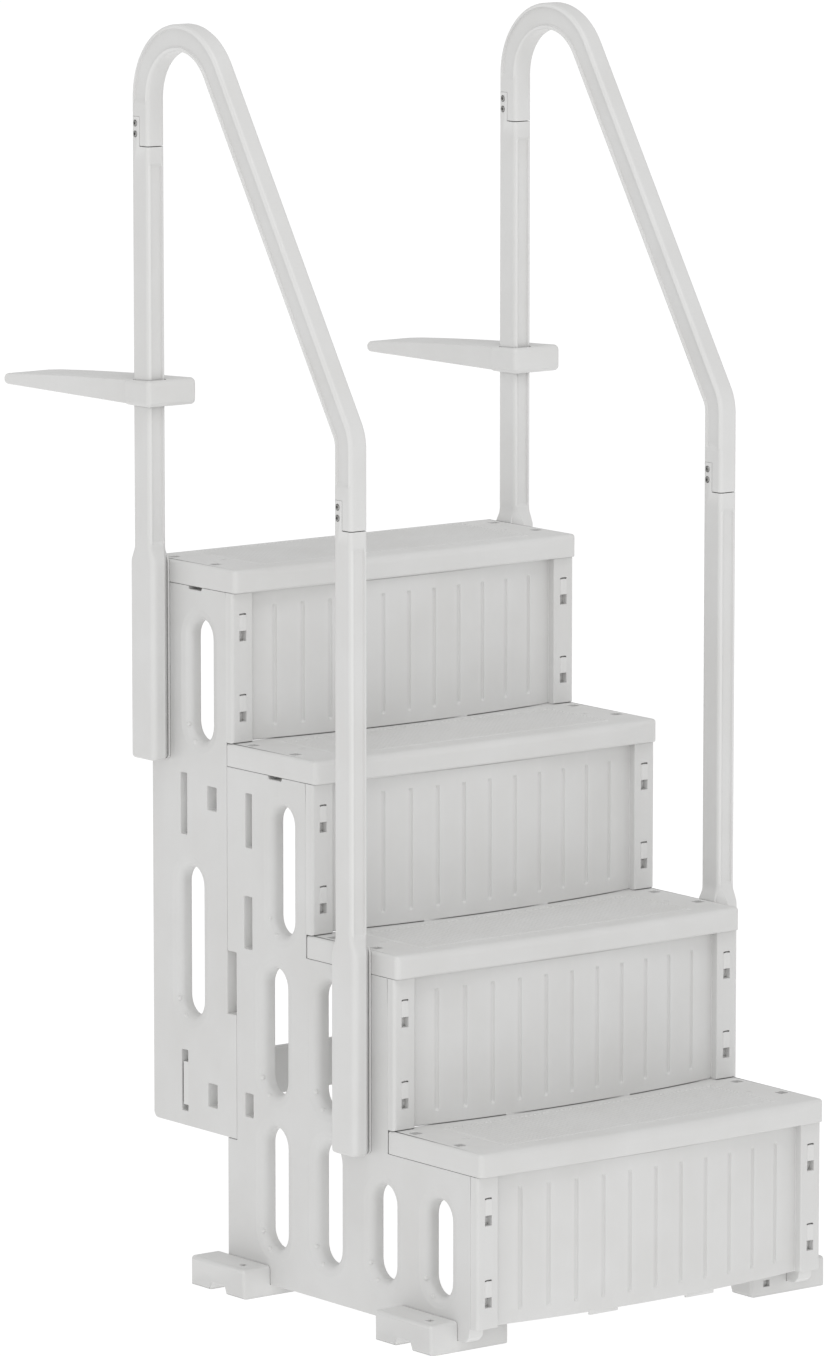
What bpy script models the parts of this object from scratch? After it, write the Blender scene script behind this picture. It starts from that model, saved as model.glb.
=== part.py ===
"""Four-step in-pool ladder: a moulded staircase with two bow handrails and two sliding deck flanges.

The stair is worked out in its own frame: X = 0 midway between the side panels, Y = 0 on the flat
front of the lowest riser, Z = 0 on the pool floor. One empty then carries everything, so that the
world origin is the bottom centre of the whole ladder's box. The steps face -Y.
"""
import math

import bmesh
import bpy
from mathutils import Vector

# Driving dimensions, in metres
STEPS = 4
RISE = 0.254
GOING = 0.1914
HALF_WIDTH = 0.3165
BASE_HEIGHT = 0.038
CLEARANCE = 0.0003
SEAM = 0.0006
SHADOW_GAP = 0.0012

# Treads
TREAD_THICKNESS = 0.034
TREAD_EDGE = 0.0035
BAYS = 5
BAY_RIB = 0.008
BAY_MARGIN = 0.040
TREAD_LAP = 0.0158
TREAD_SKIN = 0.006
NOSE_CORNER = 0.005
NOSE_MIDDLE = 0.014
NOSE_CORNER_RADIUS = 0.008
CURVE_STEPS = 16

# Risers
STRIP_WIDTH = 0.0375
RETURN_DEPTH = 0.0155
WEB_THICKNESS = 0.006
WEB_RECESS = 0.012
WEB_BOW = 0.021
WEB_SHOULDER = 0.006
GROOVES = 11
GROOVE_PITCH = 0.047
GROOVE_WIDTH = 0.006
GROOVE_DEPTH = 0.0025
GROOVE_FOOT = 0.020
GROOVE_HEAD = 0.022
TAB_CENTRES = (-0.092, 0.085)
TAB_WIDTH = 0.052
TAB_DROP = 0.004
LATCH_X = 0.297
LATCH_WIDTH = 0.0125
LATCH_TOPS = (0.064, 0.182)
LATCH_HOLE_TOP = 0.026
LATCH_HOLE_HEIGHT = 0.015
LATCH_DEPTH = 0.011
SLIT_HEIGHT = 0.0015
SLIT_DEPTH = 0.004

# Side panels
PANEL_THICKNESS = 0.025
PANEL_BOTTOM = 0.0166
LAP_FRONT = 0.5682
LAP_SLOT = (0.4016, 0.4945)
REAR_PANEL_END = 0.773
REAR_PANEL_BOTTOM = 0.218
PANEL_TOE = 0.012
HOLE_WIDTH = 0.064
HOLE_PITCH = 0.1286
HOLE_COLUMN = 0.4756
LOW_HOLES = ((0.070, 0.256), (0.070, 0.256), (0.070, 0.217), (0.070, 0.217))
MIDDLE_HOLES = ((0.297, 0.491), (0.297, 0.491))
TOP_HOLE = (0.4564, 0.053, 0.535, 0.730)
REAR_HOLES = ((0.6554, HOLE_WIDTH, 0.793, 0.979), (0.6802, HOLE_WIDTH, 0.383, 0.612))
SLOT_WIDTH = 0.0156
FRONT_SLOTS = (
    (0.5281, 0.5437, 0.653, 0.733),
    (0.5279, 0.5470, 0.504, 0.5815),
    (0.5262, 0.5460, 0.256, 0.291),
)
BRACE_SLOTS = ((0.652, 0.743), (0.240, 0.331))
SQUARE_HOLES = ((0.6140, 0.6365, 0.6955, 0.7305), (0.6140, 0.6365, 0.2555, 0.2905))
NOTCH_BACK = 0.090
NOTCH_HALF = (0.015, 0.017)
NOTCH_DEPTH = 0.0047

# Feet
FOOT_OUT = 0.048
FOOT_IN = 0.092
FOOT_LENGTH = 0.130
FOOT_HEIGHT = 0.044
FOOT_CHANNEL = (0.040, 0.010)
FOOT_CHANNEL_TAPER = 0.004
FOOT_EDGE = 0.005
FOOT_FRONTS = (0.047, 0.488)

# Posts and handrails
RAIL_X = 0.3386
RAIL_WIDTH = 0.031
RAIL_DEPTH = 0.0395
RAIL_RADIUS = 0.0065
FRONT_POST_Y = 0.2642
REAR_POST_Y = 0.7455
BOOT_DEPTH = 0.058
BOOT_HEIGHT = 0.288
BOOT_DROP = 0.006
BOOT_FLARE = 0.026
BOOT_CHAMFER = 0.016
BOOT_RADIUS = 0.008
BOOT_OUT = 0.001
BOOT_TIP = 0.003
LAP_LENGTH = 0.043
FRONT_JOINT_Z = 1.148
REAR_JOINT_Z = 1.656
SPIGOT = (0.014, 0.024, 0.060)
BEND_Z = 1.2787
BEND_RADIUS = 0.090
BOW_RADIUS = 0.092
RAIL_SLANT = math.radians(32.1)
SCREW_RISES = (0.0177, 0.0333)
SCREW_BACK = 0.0105
SCREW_RADIUS = 0.0020
SCREW_HEAD = 0.0040
SCREW_LENGTH = 0.0210
BOLT_DROPS = (0.075, 0.225)
BOLT_RADIUS = 0.0030
BOLT_HEAD = (0.0066, 0.0055)
BOLT_REACH = 0.0270
BORE_SLACK = 0.0004

# Deck flanges
DECK_HEIGHT = 1.2785
COLLAR_WALL = 0.0075
COLLAR_FRONT = 0.0295
FLANGE_WIDTH = 0.0873
FLANGE_LENGTH = 0.3684
FLANGE_FRONT_THICKNESS = 0.0394
FLANGE_TIP_THICKNESS = 0.017
FLANGE_CROWN = 0.39
FLANGE_EDGE = 0.005
POST_CLEARANCE = 0.001
CLAMP_LEVEL = 0.020
CLAMP_POCKET = (0.0085, 0.014)
CLAMP_HEAD = (0.0062, 0.0055)

# Rear brace
BRACE_BOTTOM = 0.246
BRACE_HEIGHT = 0.070
BRACE_Y = 0.6862
BRACE_SLACK = 0.0012
BRACE_SHOULDER = 0.003

SIDES = {"left": -1.0, "right": 1.0}


def clear_scene():
    for obj in list(bpy.data.objects):
        bpy.data.objects.remove(obj, do_unlink=True)


def plastic(name, shade, roughness):
    """Moulded pool-grade plastic: a neutral, faintly warm off-white."""
    material = bpy.data.materials.new(name)
    material.use_nodes = True
    shader = material.node_tree.nodes["Principled BSDF"]
    shader.inputs["Base Color"].default_value = (shade, shade, shade * 0.985, 1.0)
    shader.inputs["Roughness"].default_value = roughness
    shader.inputs["Metallic"].default_value = 0.0
    return material


def steel(name):
    """Brushed stainless steel for the fasteners."""
    material = bpy.data.materials.new(name)
    material.use_nodes = True
    shader = material.node_tree.nodes["Principled BSDF"]
    shader.inputs["Base Color"].default_value = (0.62, 0.62, 0.60, 1.0)
    shader.inputs["Roughness"].default_value = 0.35
    shader.inputs["Metallic"].default_value = 1.0
    return material


def make_materials():
    return {
        "tread": plastic("tread_plastic", 0.66, 0.55),
        "riser": plastic("riser_plastic", 0.64, 0.48),
        "panel": plastic("panel_plastic", 0.64, 0.50),
        "foot": plastic("foot_plastic", 0.62, 0.50),
        "post": plastic("post_plastic", 0.66, 0.42),
        "rail": plastic("rail_plastic", 0.67, 0.40),
        "flange": plastic("flange_plastic", 0.66, 0.45),
        "brace": plastic("brace_plastic", 0.60, 0.50),
        "screw": steel("fastener_steel"),
    }


def new_object(name, bm, material, parent):
    """Turn a bmesh into a named object with its faces pointing out."""
    bmesh.ops.remove_doubles(bm, verts=bm.verts, dist=1e-6)
    bmesh.ops.recalc_face_normals(bm, faces=bm.faces)
    mesh = bpy.data.meshes.new(name)
    bm.to_mesh(mesh)
    bm.free()
    obj = bpy.data.objects.new(name, mesh)
    bpy.context.scene.collection.objects.link(obj)
    obj.parent = parent
    if material:
        mesh.materials.append(material)
        mesh.shade_smooth()
        mesh.set_sharp_from_angle(angle=math.radians(35))
    return obj


def arc(centre, radius, start, end, steps):
    """Points on an arc between two angles given in degrees, both ends included."""
    points = []
    for i in range(steps + 1):
        angle = math.radians(start + (end - start) * i / steps)
        points.append((centre[0] + radius * math.cos(angle), centre[1] + radius * math.sin(angle)))
    return points


def rounded_box_outline(width, depth, radius, steps=3):
    """A rectangle centred on zero with rounded corners, counter-clockwise."""
    x, y = width / 2 - radius, depth / 2 - radius
    outline = []
    for sx, sy, start in ((1, 1, 0), (-1, 1, 90), (-1, -1, 180), (1, -1, 270)):
        outline += arc((sx * x, sy * y), radius, start, start + 90, steps)
    return outline


def stadium(centre, width, low, high, steps=8):
    """An upright slot with round ends, as (y, z) points."""
    r = width / 2
    return arc((centre, high - r), r, 0, 180, steps) + arc((centre, low + r), r, 180, 360, steps)


def box_outline(y0, y1, z0, z1):
    return [(y0, z0), (y1, z0), (y1, z1), (y0, z1)]


def add_box(bm, low, high):
    """A closed box between two opposite corners."""
    result = bmesh.ops.create_cube(bm, size=1.0)
    centre = (Vector(low) + Vector(high)) / 2
    size = Vector(high) - Vector(low)
    for vert in result["verts"]:
        vert.co = Vector(c * s for c, s in zip(vert.co, size)) + centre


def add_cylinder(bm, start, end, radius, sides=12):
    """A closed cylinder lying along X between two points."""
    rings = []
    for x in (start[0], end[0]):
        ring = []
        for i in range(sides):
            angle = 2 * math.pi * i / sides
            y = start[1] + radius * math.cos(angle)
            z = start[2] + radius * math.sin(angle)
            ring.append(bm.verts.new((x, y, z)))
        rings.append(ring)
    for i in range(sides):
        j = (i + 1) % sides
        bm.faces.new((rings[0][i], rings[0][j], rings[1][j], rings[1][i]))
    bm.faces.new(rings[0])
    bm.faces.new(rings[1])


def prism(outline, holes, place, low, high):
    """Fill an outline that may have holes, then extrude it between two levels.

    place(u, v, w) turns a point of the outline at level w into x, y, z.
    """
    bm = bmesh.new()
    edges = []
    for loop in [outline] + holes:
        verts = [bm.verts.new(place(u, v, low)) for u, v in loop]
        for i, vert in enumerate(verts):
            edges.append(bm.edges.new((vert, verts[(i + 1) % len(verts)])))
    filled = bmesh.ops.triangle_fill(bm, edges=edges, use_beauty=True)
    faces = [item for item in filled["geom"] if isinstance(item, bmesh.types.BMFace)]
    extruded = bmesh.ops.extrude_face_region(bm, geom=faces, use_keep_orig=True)
    offset = Vector(place(0, 0, high)) - Vector(place(0, 0, low))
    moved = [item for item in extruded["geom"] if isinstance(item, bmesh.types.BMVert)]
    bmesh.ops.translate(bm, verts=moved, vec=offset)
    return bm


def across(u, v, w):
    """Outline in (y, z), extruded along X."""
    return (w, u, v)


def upright(u, v, w):
    """Outline in (x, y), extruded along Z."""
    return (u, v, w)


def loft(rings):
    """Skin a list of rings that have the same number of points, and cap both ends."""
    bm = bmesh.new()
    rows = [[bm.verts.new(point) for point in ring] for ring in rings]
    count = len(rows[0])
    for low, high in zip(rows, rows[1:]):
        for i in range(count):
            j = (i + 1) % count
            bm.faces.new((low[i], low[j], high[j], high[i]))
    bm.faces.new(rows[0])
    bm.faces.new(rows[-1])
    return bm


def bevel(obj, width, segments, angle=40):
    """Round the edges that are sharper than an angle."""
    modifier = obj.modifiers.new("rounded_edges", "BEVEL")
    modifier.width = width
    modifier.segments = segments
    modifier.limit_method = "ANGLE"
    modifier.angle_limit = math.radians(angle)
    modifier.use_clamp_overlap = True


def cut(obj, cutter):
    modifier = obj.modifiers.new("cut_" + cutter.name, "BOOLEAN")
    modifier.operation = "DIFFERENCE"
    modifier.solver = "EXACT"
    modifier.object = cutter


def join(obj, other):
    modifier = obj.modifiers.new("join_" + other.name, "BOOLEAN")
    modifier.operation = "UNION"
    modifier.solver = "EXACT"
    modifier.object = other


def helper(name, bm, parent):
    """A shape that only cuts or joins, and is not a piece of the ladder."""
    obj = new_object(name, bm, None, parent)
    obj.hide_render = True
    obj.display_type = "WIRE"
    return obj


def box_helper(name, boxes, parent):
    bm = bmesh.new()
    for low, high in boxes:
        add_box(bm, low, high)
    return helper(name, bm, parent)


def step_front(step):
    """Y of the flat front of a riser, counting steps from 1 at the bottom."""
    return (step - 1) * GOING


def step_top(step):
    return BASE_HEIGHT + step * RISE


def step_underside(step):
    return step_top(step) - TREAD_THICKNESS


def tread_rear(step):
    return step_front(step + 1) + TREAD_LAP


def web_y(x, front):
    """Front surface of the bowed middle of a riser."""
    half = HALF_WIDTH - STRIP_WIDTH
    return front + WEB_RECESS - WEB_BOW * (1 - (x / half) ** 2)


def nose_y(x, front):
    """Front edge of a tread, bowed forward between its rounded corners."""
    share = 1 - (x / HALF_WIDTH) ** 2
    return front - NOSE_CORNER - (NOSE_MIDDLE - NOSE_CORNER) * share


def tread_outline(step):
    front = step_front(step)
    rear = tread_rear(step)
    r = NOSE_CORNER_RADIUS
    reach = HALF_WIDTH - r
    xs = [reach * (2 * i / CURVE_STEPS - 1) for i in range(CURVE_STEPS + 1)]
    nose = [(x, nose_y(x, front)) for x in xs]
    corner_y = nose_y(reach, front) + r
    left = arc((-reach, corner_y), r, 180, 255, 3)
    right = arc((reach, corner_y), r, 285, 360, 3)
    return left + nose + right + [(HALF_WIDTH, rear), (-HALF_WIDTH, rear)]


def tread_pockets(step):
    """Underside pockets between ribs, clear of the riser, the panels and the riser above."""
    front = step_front(step) + BAY_MARGIN
    rear = tread_rear(step) - BAY_MARGIN
    reach = HALF_WIDTH - PANEL_THICKNESS - BAY_RIB
    pitch = (2 * reach + BAY_RIB) / BAYS
    low = step_underside(step) - 0.005
    high = step_top(step) - TREAD_SKIN
    boxes = []
    for i in range(BAYS):
        x = -reach + i * pitch
        boxes.append(((x, front, low), (x + pitch - BAY_RIB, rear, high)))
    return boxes


def tab_boxes(step, grow, down):
    """The two tabs under a riser, or the sockets for them in the tread below."""
    boxes = []
    for centre in TAB_CENTRES:
        y = web_y(centre, step_front(step))
        base = step_top(step - 1)
        low = (centre - TAB_WIDTH / 2 - grow, y + 0.001 - grow, base - down)
        high = (centre + TAB_WIDTH / 2 + grow, y + WEB_THICKNESS - 0.001 + grow, base + 0.004)
        boxes.append((low, high))
    return boxes


def make_tread(step, materials, root):
    name = f"tread_{step}"
    outline = tread_outline(step)
    bm = prism(outline, [], upright, step_underside(step), step_top(step))
    obj = new_object(name, bm, materials["tread"], root)
    bevel(obj, TREAD_EDGE, 2, 50)
    boxes = tread_pockets(step)
    if step < STEPS:
        boxes += tab_boxes(step + 1, CLEARANCE, TAB_DROP + CLEARANCE)
    cut(obj, box_helper(name + "_pockets", boxes, root))
    return obj


def riser_outline(step):
    """Plan of a riser: two flat corner strips with returns, and a thin web bowed between them."""
    front = step_front(step)
    inner = HALF_WIDTH - STRIP_WIDTH
    shoulder = inner - WEB_SHOULDER
    rear = front + RETURN_DEPTH
    r = 0.005
    xs = [shoulder * (2 * i / CURVE_STEPS - 1) for i in range(CURVE_STEPS + 1)]
    web_front = [(x, web_y(x, front)) for x in xs]
    web_back = [(x, web_y(x, front) + WEB_THICKNESS) for x in reversed(xs)]
    left = [(-HALF_WIDTH, rear)] + arc((-HALF_WIDTH + r, front + r), r, 180, 270, 3) + [(-inner, front)]
    right = [(inner, front)] + arc((HALF_WIDTH - r, front + r), r, 270, 360, 3) + [(HALF_WIDTH, rear)]
    return left + web_front + right + [(inner, rear)] + web_back + [(-inner, rear)]


def groove_boxes(step):
    boxes = []
    for i in range(GROOVES):
        x = (i - (GROOVES - 1) / 2) * GROOVE_PITCH
        y = web_y(x, step_front(step))
        low = (x - GROOVE_WIDTH / 2, y - 0.006, step_top(step - 1) + GROOVE_FOOT)
        high = (x + GROOVE_WIDTH / 2, y + GROOVE_DEPTH, step_underside(step) - GROOVE_HEAD)
        boxes.append((low, high))
    return boxes


def latch_boxes(step):
    """Square latch windows and the thin slit above each latch tongue, two on each corner strip."""
    boxes = []
    front = step_front(step)
    outside = front - 0.002
    half = LATCH_WIDTH / 2
    for side in SIDES.values():
        for drop in LATCH_TOPS:
            x = side * LATCH_X
            top = step_top(step) - drop
            boxes.append(((x - half, outside, top - SLIT_HEIGHT), (x + half, front + SLIT_DEPTH, top)))
            hole = top - LATCH_HOLE_TOP
            low = (x - half, outside, hole - LATCH_HOLE_HEIGHT)
            boxes.append((low, (x + half, front + LATCH_DEPTH, hole)))
    return boxes


def make_riser(step, materials, root):
    name = f"riser_{step}"
    low = step_top(step - 1) + SHADOW_GAP
    high = step_underside(step) - CLEARANCE
    bm = prism(riser_outline(step), [], upright, low, high)
    obj = new_object(name, bm, materials["riser"], root)
    tabs = box_helper(name + "_tabs", tab_boxes(step, 0, TAB_DROP), root)
    join(obj, tabs)
    cut(obj, box_helper(name + "_windows", groove_boxes(step) + latch_boxes(step), root))
    return obj


def notch_points(step):
    """The shallow finger notch in a panel's top edge, from its rear end to its front end."""
    middle = step_front(step) + NOTCH_BACK
    top = step_underside(step) - CLEARANCE
    floor_half, mouth_half = NOTCH_HALF
    points = [(middle + mouth_half, top), (middle + floor_half, top - NOTCH_DEPTH)]
    points += [(middle - floor_half, top - NOTCH_DEPTH), (middle - mouth_half, top)]
    return points


def front_panel_outline():
    """Side of the three lower steps, stepped under the treads, hooked at the rear for the lap."""
    rear = tread_rear(3)
    foremost = step_front(1) + RETURN_DEPTH + SEAM
    lap_z = LAP_SLOT[1]
    outline = [(foremost, BASE_HEIGHT), (foremost + PANEL_TOE, PANEL_BOTTOM), (rear, PANEL_BOTTOM)]
    outline += [(rear, REAR_PANEL_BOTTOM - SEAM), (LAP_FRONT, REAR_PANEL_BOTTOM - SEAM)]
    outline += [(LAP_FRONT, lap_z), (rear, lap_z), (rear, step_underside(3) - CLEARANCE)]
    outline += notch_points(3)
    for step in (3, 2):
        behind = step_front(step) + RETURN_DEPTH + SEAM
        outline.append((behind, step_underside(step) - CLEARANCE))
        outline.append((behind, step_underside(step - 1) - CLEARANCE))
    outline.append((foremost, step_underside(1) - CLEARANCE))
    return outline


def hole_columns(levels):
    """Stadium holes in a row from the rear forward, one for each pair of levels."""
    return [stadium(HOLE_COLUMN - i * HOLE_PITCH, HOLE_WIDTH, *span) for i, span in enumerate(levels)]


def front_panel_holes():
    holes = hole_columns(LOW_HOLES) + hole_columns(MIDDLE_HOLES)
    holes.append(stadium(*TOP_HOLE))
    return holes + [box_outline(*slot) for slot in FRONT_SLOTS]


def rear_panel_outline():
    """Side of the top step, with a tongue at its foot that laps into the front panel."""
    front = tread_rear(3) + SEAM
    tongue = LAP_FRONT + SEAM
    top = step_underside(4) - CLEARANCE
    r = 0.010
    corner = arc((REAR_PANEL_END - r, REAR_PANEL_BOTTOM + r), r, 270, 360, 4)
    outline = [(tongue, REAR_PANEL_BOTTOM)] + corner + [(REAR_PANEL_END, top)]
    outline += notch_points(4)
    return outline + [(front, top), (front, LAP_SLOT[0]), (tongue, LAP_SLOT[0])]


def rear_panel_holes():
    holes = [stadium(*hole) for hole in REAR_HOLES]
    holes += [box_outline(BRACE_Y, BRACE_Y + SLOT_WIDTH, low, high) for low, high in BRACE_SLOTS]
    return holes + [box_outline(*hole) for hole in SQUARE_HOLES]


def bolt_heights(step):
    """The two bolts that hold a post's boot, counted down from the tread beside it."""
    return [step_top(step) - drop for drop in BOLT_DROPS]


def bolt_hole_helper(name, side, y, step, root):
    """Clearance for both bolts of one boot, through the panel and into the boot."""
    bm = bmesh.new()
    inner = HALF_WIDTH - PANEL_THICKNESS - 0.002
    outer = HALF_WIDTH + BOLT_REACH + BORE_SLACK
    for z in bolt_heights(step):
        add_cylinder(bm, (side * inner, y, z), (side * outer, y, z), BOLT_RADIUS + BORE_SLACK)
    return helper(name, bm, root)


def make_side_panel(which, side_name, materials, root):
    side = SIDES[side_name]
    name = f"side_panel_{which}_{side_name}"
    if which == "front":
        outline, holes, post, step = front_panel_outline(), front_panel_holes(), FRONT_POST_Y, 2
    else:
        outline, holes, post, step = rear_panel_outline(), rear_panel_holes(), REAR_POST_Y, 4
    outer = side * HALF_WIDTH
    inner = side * (HALF_WIDTH - PANEL_THICKNESS)
    bm = prism(outline, holes, across, min(outer, inner), max(outer, inner))
    obj = new_object(name, bm, materials["panel"], root)
    cut(obj, bolt_hole_helper(name + "_bolt_holes", side, post, step, root))
    return obj


def make_foot(which, side_name, materials, root):
    """A square block that straddles the bottom edge of a side panel."""
    side = SIDES[side_name]
    name = f"foot_{which}_{side_name}"
    y0 = FOOT_FRONTS[0] if which == "front" else FOOT_FRONTS[1]
    y1 = y0 + FOOT_LENGTH
    middle = (y0 + y1) / 2
    outer = HALF_WIDTH + FOOT_OUT
    inner = HALF_WIDTH - FOOT_IN
    wide, deep = FOOT_CHANNEL
    taper = wide / 2 - FOOT_CHANNEL_TAPER
    outline = [(y0, 0.0), (middle - wide / 2, 0.0), (middle - taper, deep)]
    outline += [(middle + taper, deep), (middle + wide / 2, 0.0)]
    outline += [(y1, 0.0), (y1, FOOT_HEIGHT), (y0, FOOT_HEIGHT)]
    ends = sorted((side * outer, side * inner))
    bm = prism(outline, [], across, ends[0], ends[1])
    obj = new_object(name, bm, materials["foot"], root)
    bevel(obj, FOOT_EDGE, 2, 50)
    slot = sorted((side * (HALF_WIDTH + CLEARANCE), side * (HALF_WIDTH - PANEL_THICKNESS - CLEARANCE)))
    low = (slot[0], y0 - 0.010, PANEL_BOTTOM - CLEARANCE)
    high = (slot[1], y1 + 0.010, FOOT_HEIGHT + 0.010)
    cut(obj, box_helper(name + "_slot", [(low, high)], root))
    return obj


def boot_outline(side):
    """Plan of the flared boot: round outside, chamfered where it meets the side panel."""
    outer = RAIL_WIDTH / 2 + BOOT_OUT
    inner = RAIL_X - HALF_WIDTH - CLEARANCE
    half = BOOT_DEPTH / 2
    r = BOOT_RADIUS
    corners = []
    for sy, start in ((1, 0), (-1, 270)):
        corners.append(arc((outer - r, sy * (half - r)), r, start, start + 90, 3))
    chamfers = []
    for sy in (1, -1):
        run = []
        for share in (0, 1 / 3, 2 / 3, 1):
            run.append((BOOT_CHAMFER * (1 - share) - inner, sy * (half - BOOT_CHAMFER * share)))
        chamfers.append(run if sy > 0 else run[::-1])
    outline = corners[0] + chamfers[0] + chamfers[1] + corners[1]
    return [(side * x, y) for x, y in outline]


def post_section(side):
    return [(side * x, y) for x, y in rounded_box_outline(RAIL_WIDTH, RAIL_DEPTH, RAIL_RADIUS)]


def ring_at(outline, centre_x, centre_y, z):
    return [(centre_x + x, centre_y + y, z) for x, y in outline]


def screw_points(side, y, joint_z):
    """Centres of the two joint screws on the -X face of a rail."""
    x = side * RAIL_X - RAIL_WIDTH / 2
    return [(x, y + SCREW_BACK, joint_z + rise) for rise in SCREW_RISES]


def screw_hole_helper(name, side, y, joint_z, root):
    bm = bmesh.new()
    for x, sy, sz in screw_points(side, y, joint_z):
        end = x + SCREW_LENGTH + BORE_SLACK
        add_cylinder(bm, (x - 0.002, sy, sz), (end, sy, sz), SCREW_RADIUS + BORE_SLACK)
    return helper(name, bm, root)


def spigot_box(side, y, joint_z, grow):
    """The core of a handrail leg that plugs into the post below it."""
    wide, deep, long = SPIGOT
    x = side * RAIL_X
    low = (x - wide / 2 - grow, y - deep / 2 + 0.003 - grow, joint_z - long + LAP_LENGTH - grow)
    high = (x + wide / 2 + grow, y + deep / 2 + 0.003 + grow, joint_z + LAP_LENGTH + 0.002)
    return low, high


def make_post(which, side_name, materials, root):
    side = SIDES[side_name]
    name = f"{which}_post_{side_name}"
    if which == "front":
        y, step, joint_z = FRONT_POST_Y, 2, FRONT_JOINT_Z
    else:
        y, step, joint_z = REAR_POST_Y, 4, REAR_JOINT_Z
    x = side * RAIL_X
    boot_top = step_top(step) - BOOT_DROP
    boot, shaft = boot_outline(side), post_section(side)
    shrink = 1 - 2 * BOOT_TIP / BOOT_DEPTH
    tip = [(u * shrink, v * shrink) for u, v in boot]
    rings = [
        ring_at(tip, x, y, boot_top - BOOT_HEIGHT),
        ring_at(boot, x, y, boot_top - BOOT_HEIGHT + BOOT_TIP),
        ring_at(boot, x, y, boot_top),
        ring_at(shaft, x, y, boot_top + BOOT_FLARE),
        ring_at(shaft, x, y, joint_z + LAP_LENGTH),
    ]
    obj = new_object(name, loft(rings), materials["post"], root)
    half = RAIL_DEPTH / 2 + 0.005
    shoulder = ((x - 0.02, y - half, joint_z), (x + 0.02, y + CLEARANCE, joint_z + LAP_LENGTH + 0.01))
    cut(obj, box_helper(name + "_shoulder", [shoulder], root))
    cut(obj, box_helper(name + "_socket", [spigot_box(side, y, joint_z, CLEARANCE)], root))
    cut(obj, screw_hole_helper(name + "_screw_holes", side, y, joint_z, root))
    cut(obj, bolt_hole_helper(name + "_bolt_holes", side, y, step, root))
    return obj


def bow_path():
    """Centre line of a handrail as (y, z, direction angle), from the rear leg to the front leg."""
    slant = RAIL_SLANT
    reach = REAR_POST_Y - BOW_RADIUS - FRONT_POST_Y
    centre_z = BEND_Z + (reach * math.cos(slant) - BOW_RADIUS) / math.sin(slant)
    centre = (REAR_POST_Y - BOW_RADIUS, centre_z)
    turn = 180 - math.degrees(slant)
    path = [(REAR_POST_Y, REAR_JOINT_Z, 90.0)]
    for i in range(17):
        angle = turn * i / 16
        radians = math.radians(angle)
        point = (centre[0] + BOW_RADIUS * math.cos(radians), centre[1] + BOW_RADIUS * math.sin(radians))
        path.append((point[0], point[1], 90 + angle))
    tangent = BEND_RADIUS * math.tan(slant / 2)
    bend_centre = (FRONT_POST_Y + BEND_RADIUS, BEND_Z - tangent)
    for i in range(7):
        angle = 180 - math.degrees(slant) * (1 - i / 6)
        radians = math.radians(angle)
        y = bend_centre[0] + BEND_RADIUS * math.cos(radians)
        z = bend_centre[1] + BEND_RADIUS * math.sin(radians)
        path.append((y, z, angle + 90))
    path.append((FRONT_POST_Y, FRONT_JOINT_Z, 270.0))
    return path


def make_bow(side_name, materials, root):
    side = SIDES[side_name]
    name = f"handrail_bow_{side_name}"
    section = rounded_box_outline(RAIL_WIDTH, RAIL_DEPTH, RAIL_RADIUS)
    rings = []
    for y, z, heading in bow_path():
        radians = math.radians(heading)
        across_y, across_z = math.sin(radians), -math.cos(radians)
        rings.append([(side * RAIL_X + u, y + v * across_y, z + v * across_z) for u, v in section])
    obj = new_object(name, loft(rings), materials["rail"], root)
    for leg, y, joint_z in (("rear", REAR_POST_Y, REAR_JOINT_Z), ("front", FRONT_POST_Y, FRONT_JOINT_Z)):
        x = side * RAIL_X
        low = (x - 0.02, y - CLEARANCE, joint_z - 0.01)
        high = (x + 0.02, y + RAIL_DEPTH, joint_z + LAP_LENGTH + CLEARANCE)
        ledge = ((x - 0.02, y - RAIL_DEPTH, joint_z - 0.01), (x + 0.02, y, joint_z + CLEARANCE))
        cut(obj, box_helper(f"{name}_{leg}_lap", [(low, high)], root))
        cut(obj, box_helper(f"{name}_{leg}_ledge", [ledge], root))
        join(obj, box_helper(f"{name}_{leg}_spigot", [spigot_box(side, y, joint_z, 0)], root))
        cut(obj, screw_hole_helper(f"{name}_{leg}_screw_holes", side, y, joint_z, root))
    return obj


def make_screws(which, side_name, materials, root):
    """Pan-head screws through a rail joint, heads on the -X face."""
    side = SIDES[side_name]
    y, joint_z = (FRONT_POST_Y, FRONT_JOINT_Z) if which == "front" else (REAR_POST_Y, REAR_JOINT_Z)
    head = SCREW_HEAD
    profile = [(-0.6 * head, 0.4 * head), (-0.45 * head, 0.8 * head), (-CLEARANCE, head)]
    profile += [(-CLEARANCE, SCREW_RADIUS), (SCREW_LENGTH, SCREW_RADIUS)]
    for number, (x, sy, sz) in enumerate(screw_points(side, y, joint_z), start=1):
        rings = []
        for reach, radius in profile:
            ring = arc((0, 0), radius, 0, 330, 11)
            rings.append([(x + reach, sy + u, sz + v) for u, v in ring])
        name = f"rail_screw_{which}_{side_name}_{number}"
        new_object(name, loft(rings), materials["screw"], root)


def make_bolts(which, side_name, materials, root):
    """Hex bolts from inside the stair, through the side panel, into a boot."""
    side = SIDES[side_name]
    y, step = (FRONT_POST_Y, 2) if which == "front" else (REAR_POST_Y, 4)
    face = HALF_WIDTH - PANEL_THICKNESS - CLEARANCE
    radius, height = BOLT_HEAD
    shank = arc((0, 0), BOLT_RADIUS, 0, 330, 11)
    profile = [(face - height, hexagon(0.92 * radius)), (face - 0.9 * height, hexagon(radius))]
    profile += [(face, hexagon(radius)), (face, shank), (HALF_WIDTH + BOLT_REACH, shank)]
    for number, z in enumerate(bolt_heights(step), start=1):
        rings = [[(side * x, y + u, z + v) for u, v in ring] for x, ring in profile]
        name = f"boot_bolt_{which}_{side_name}_{number}"
        new_object(name, loft(rings), materials["screw"], root)


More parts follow.
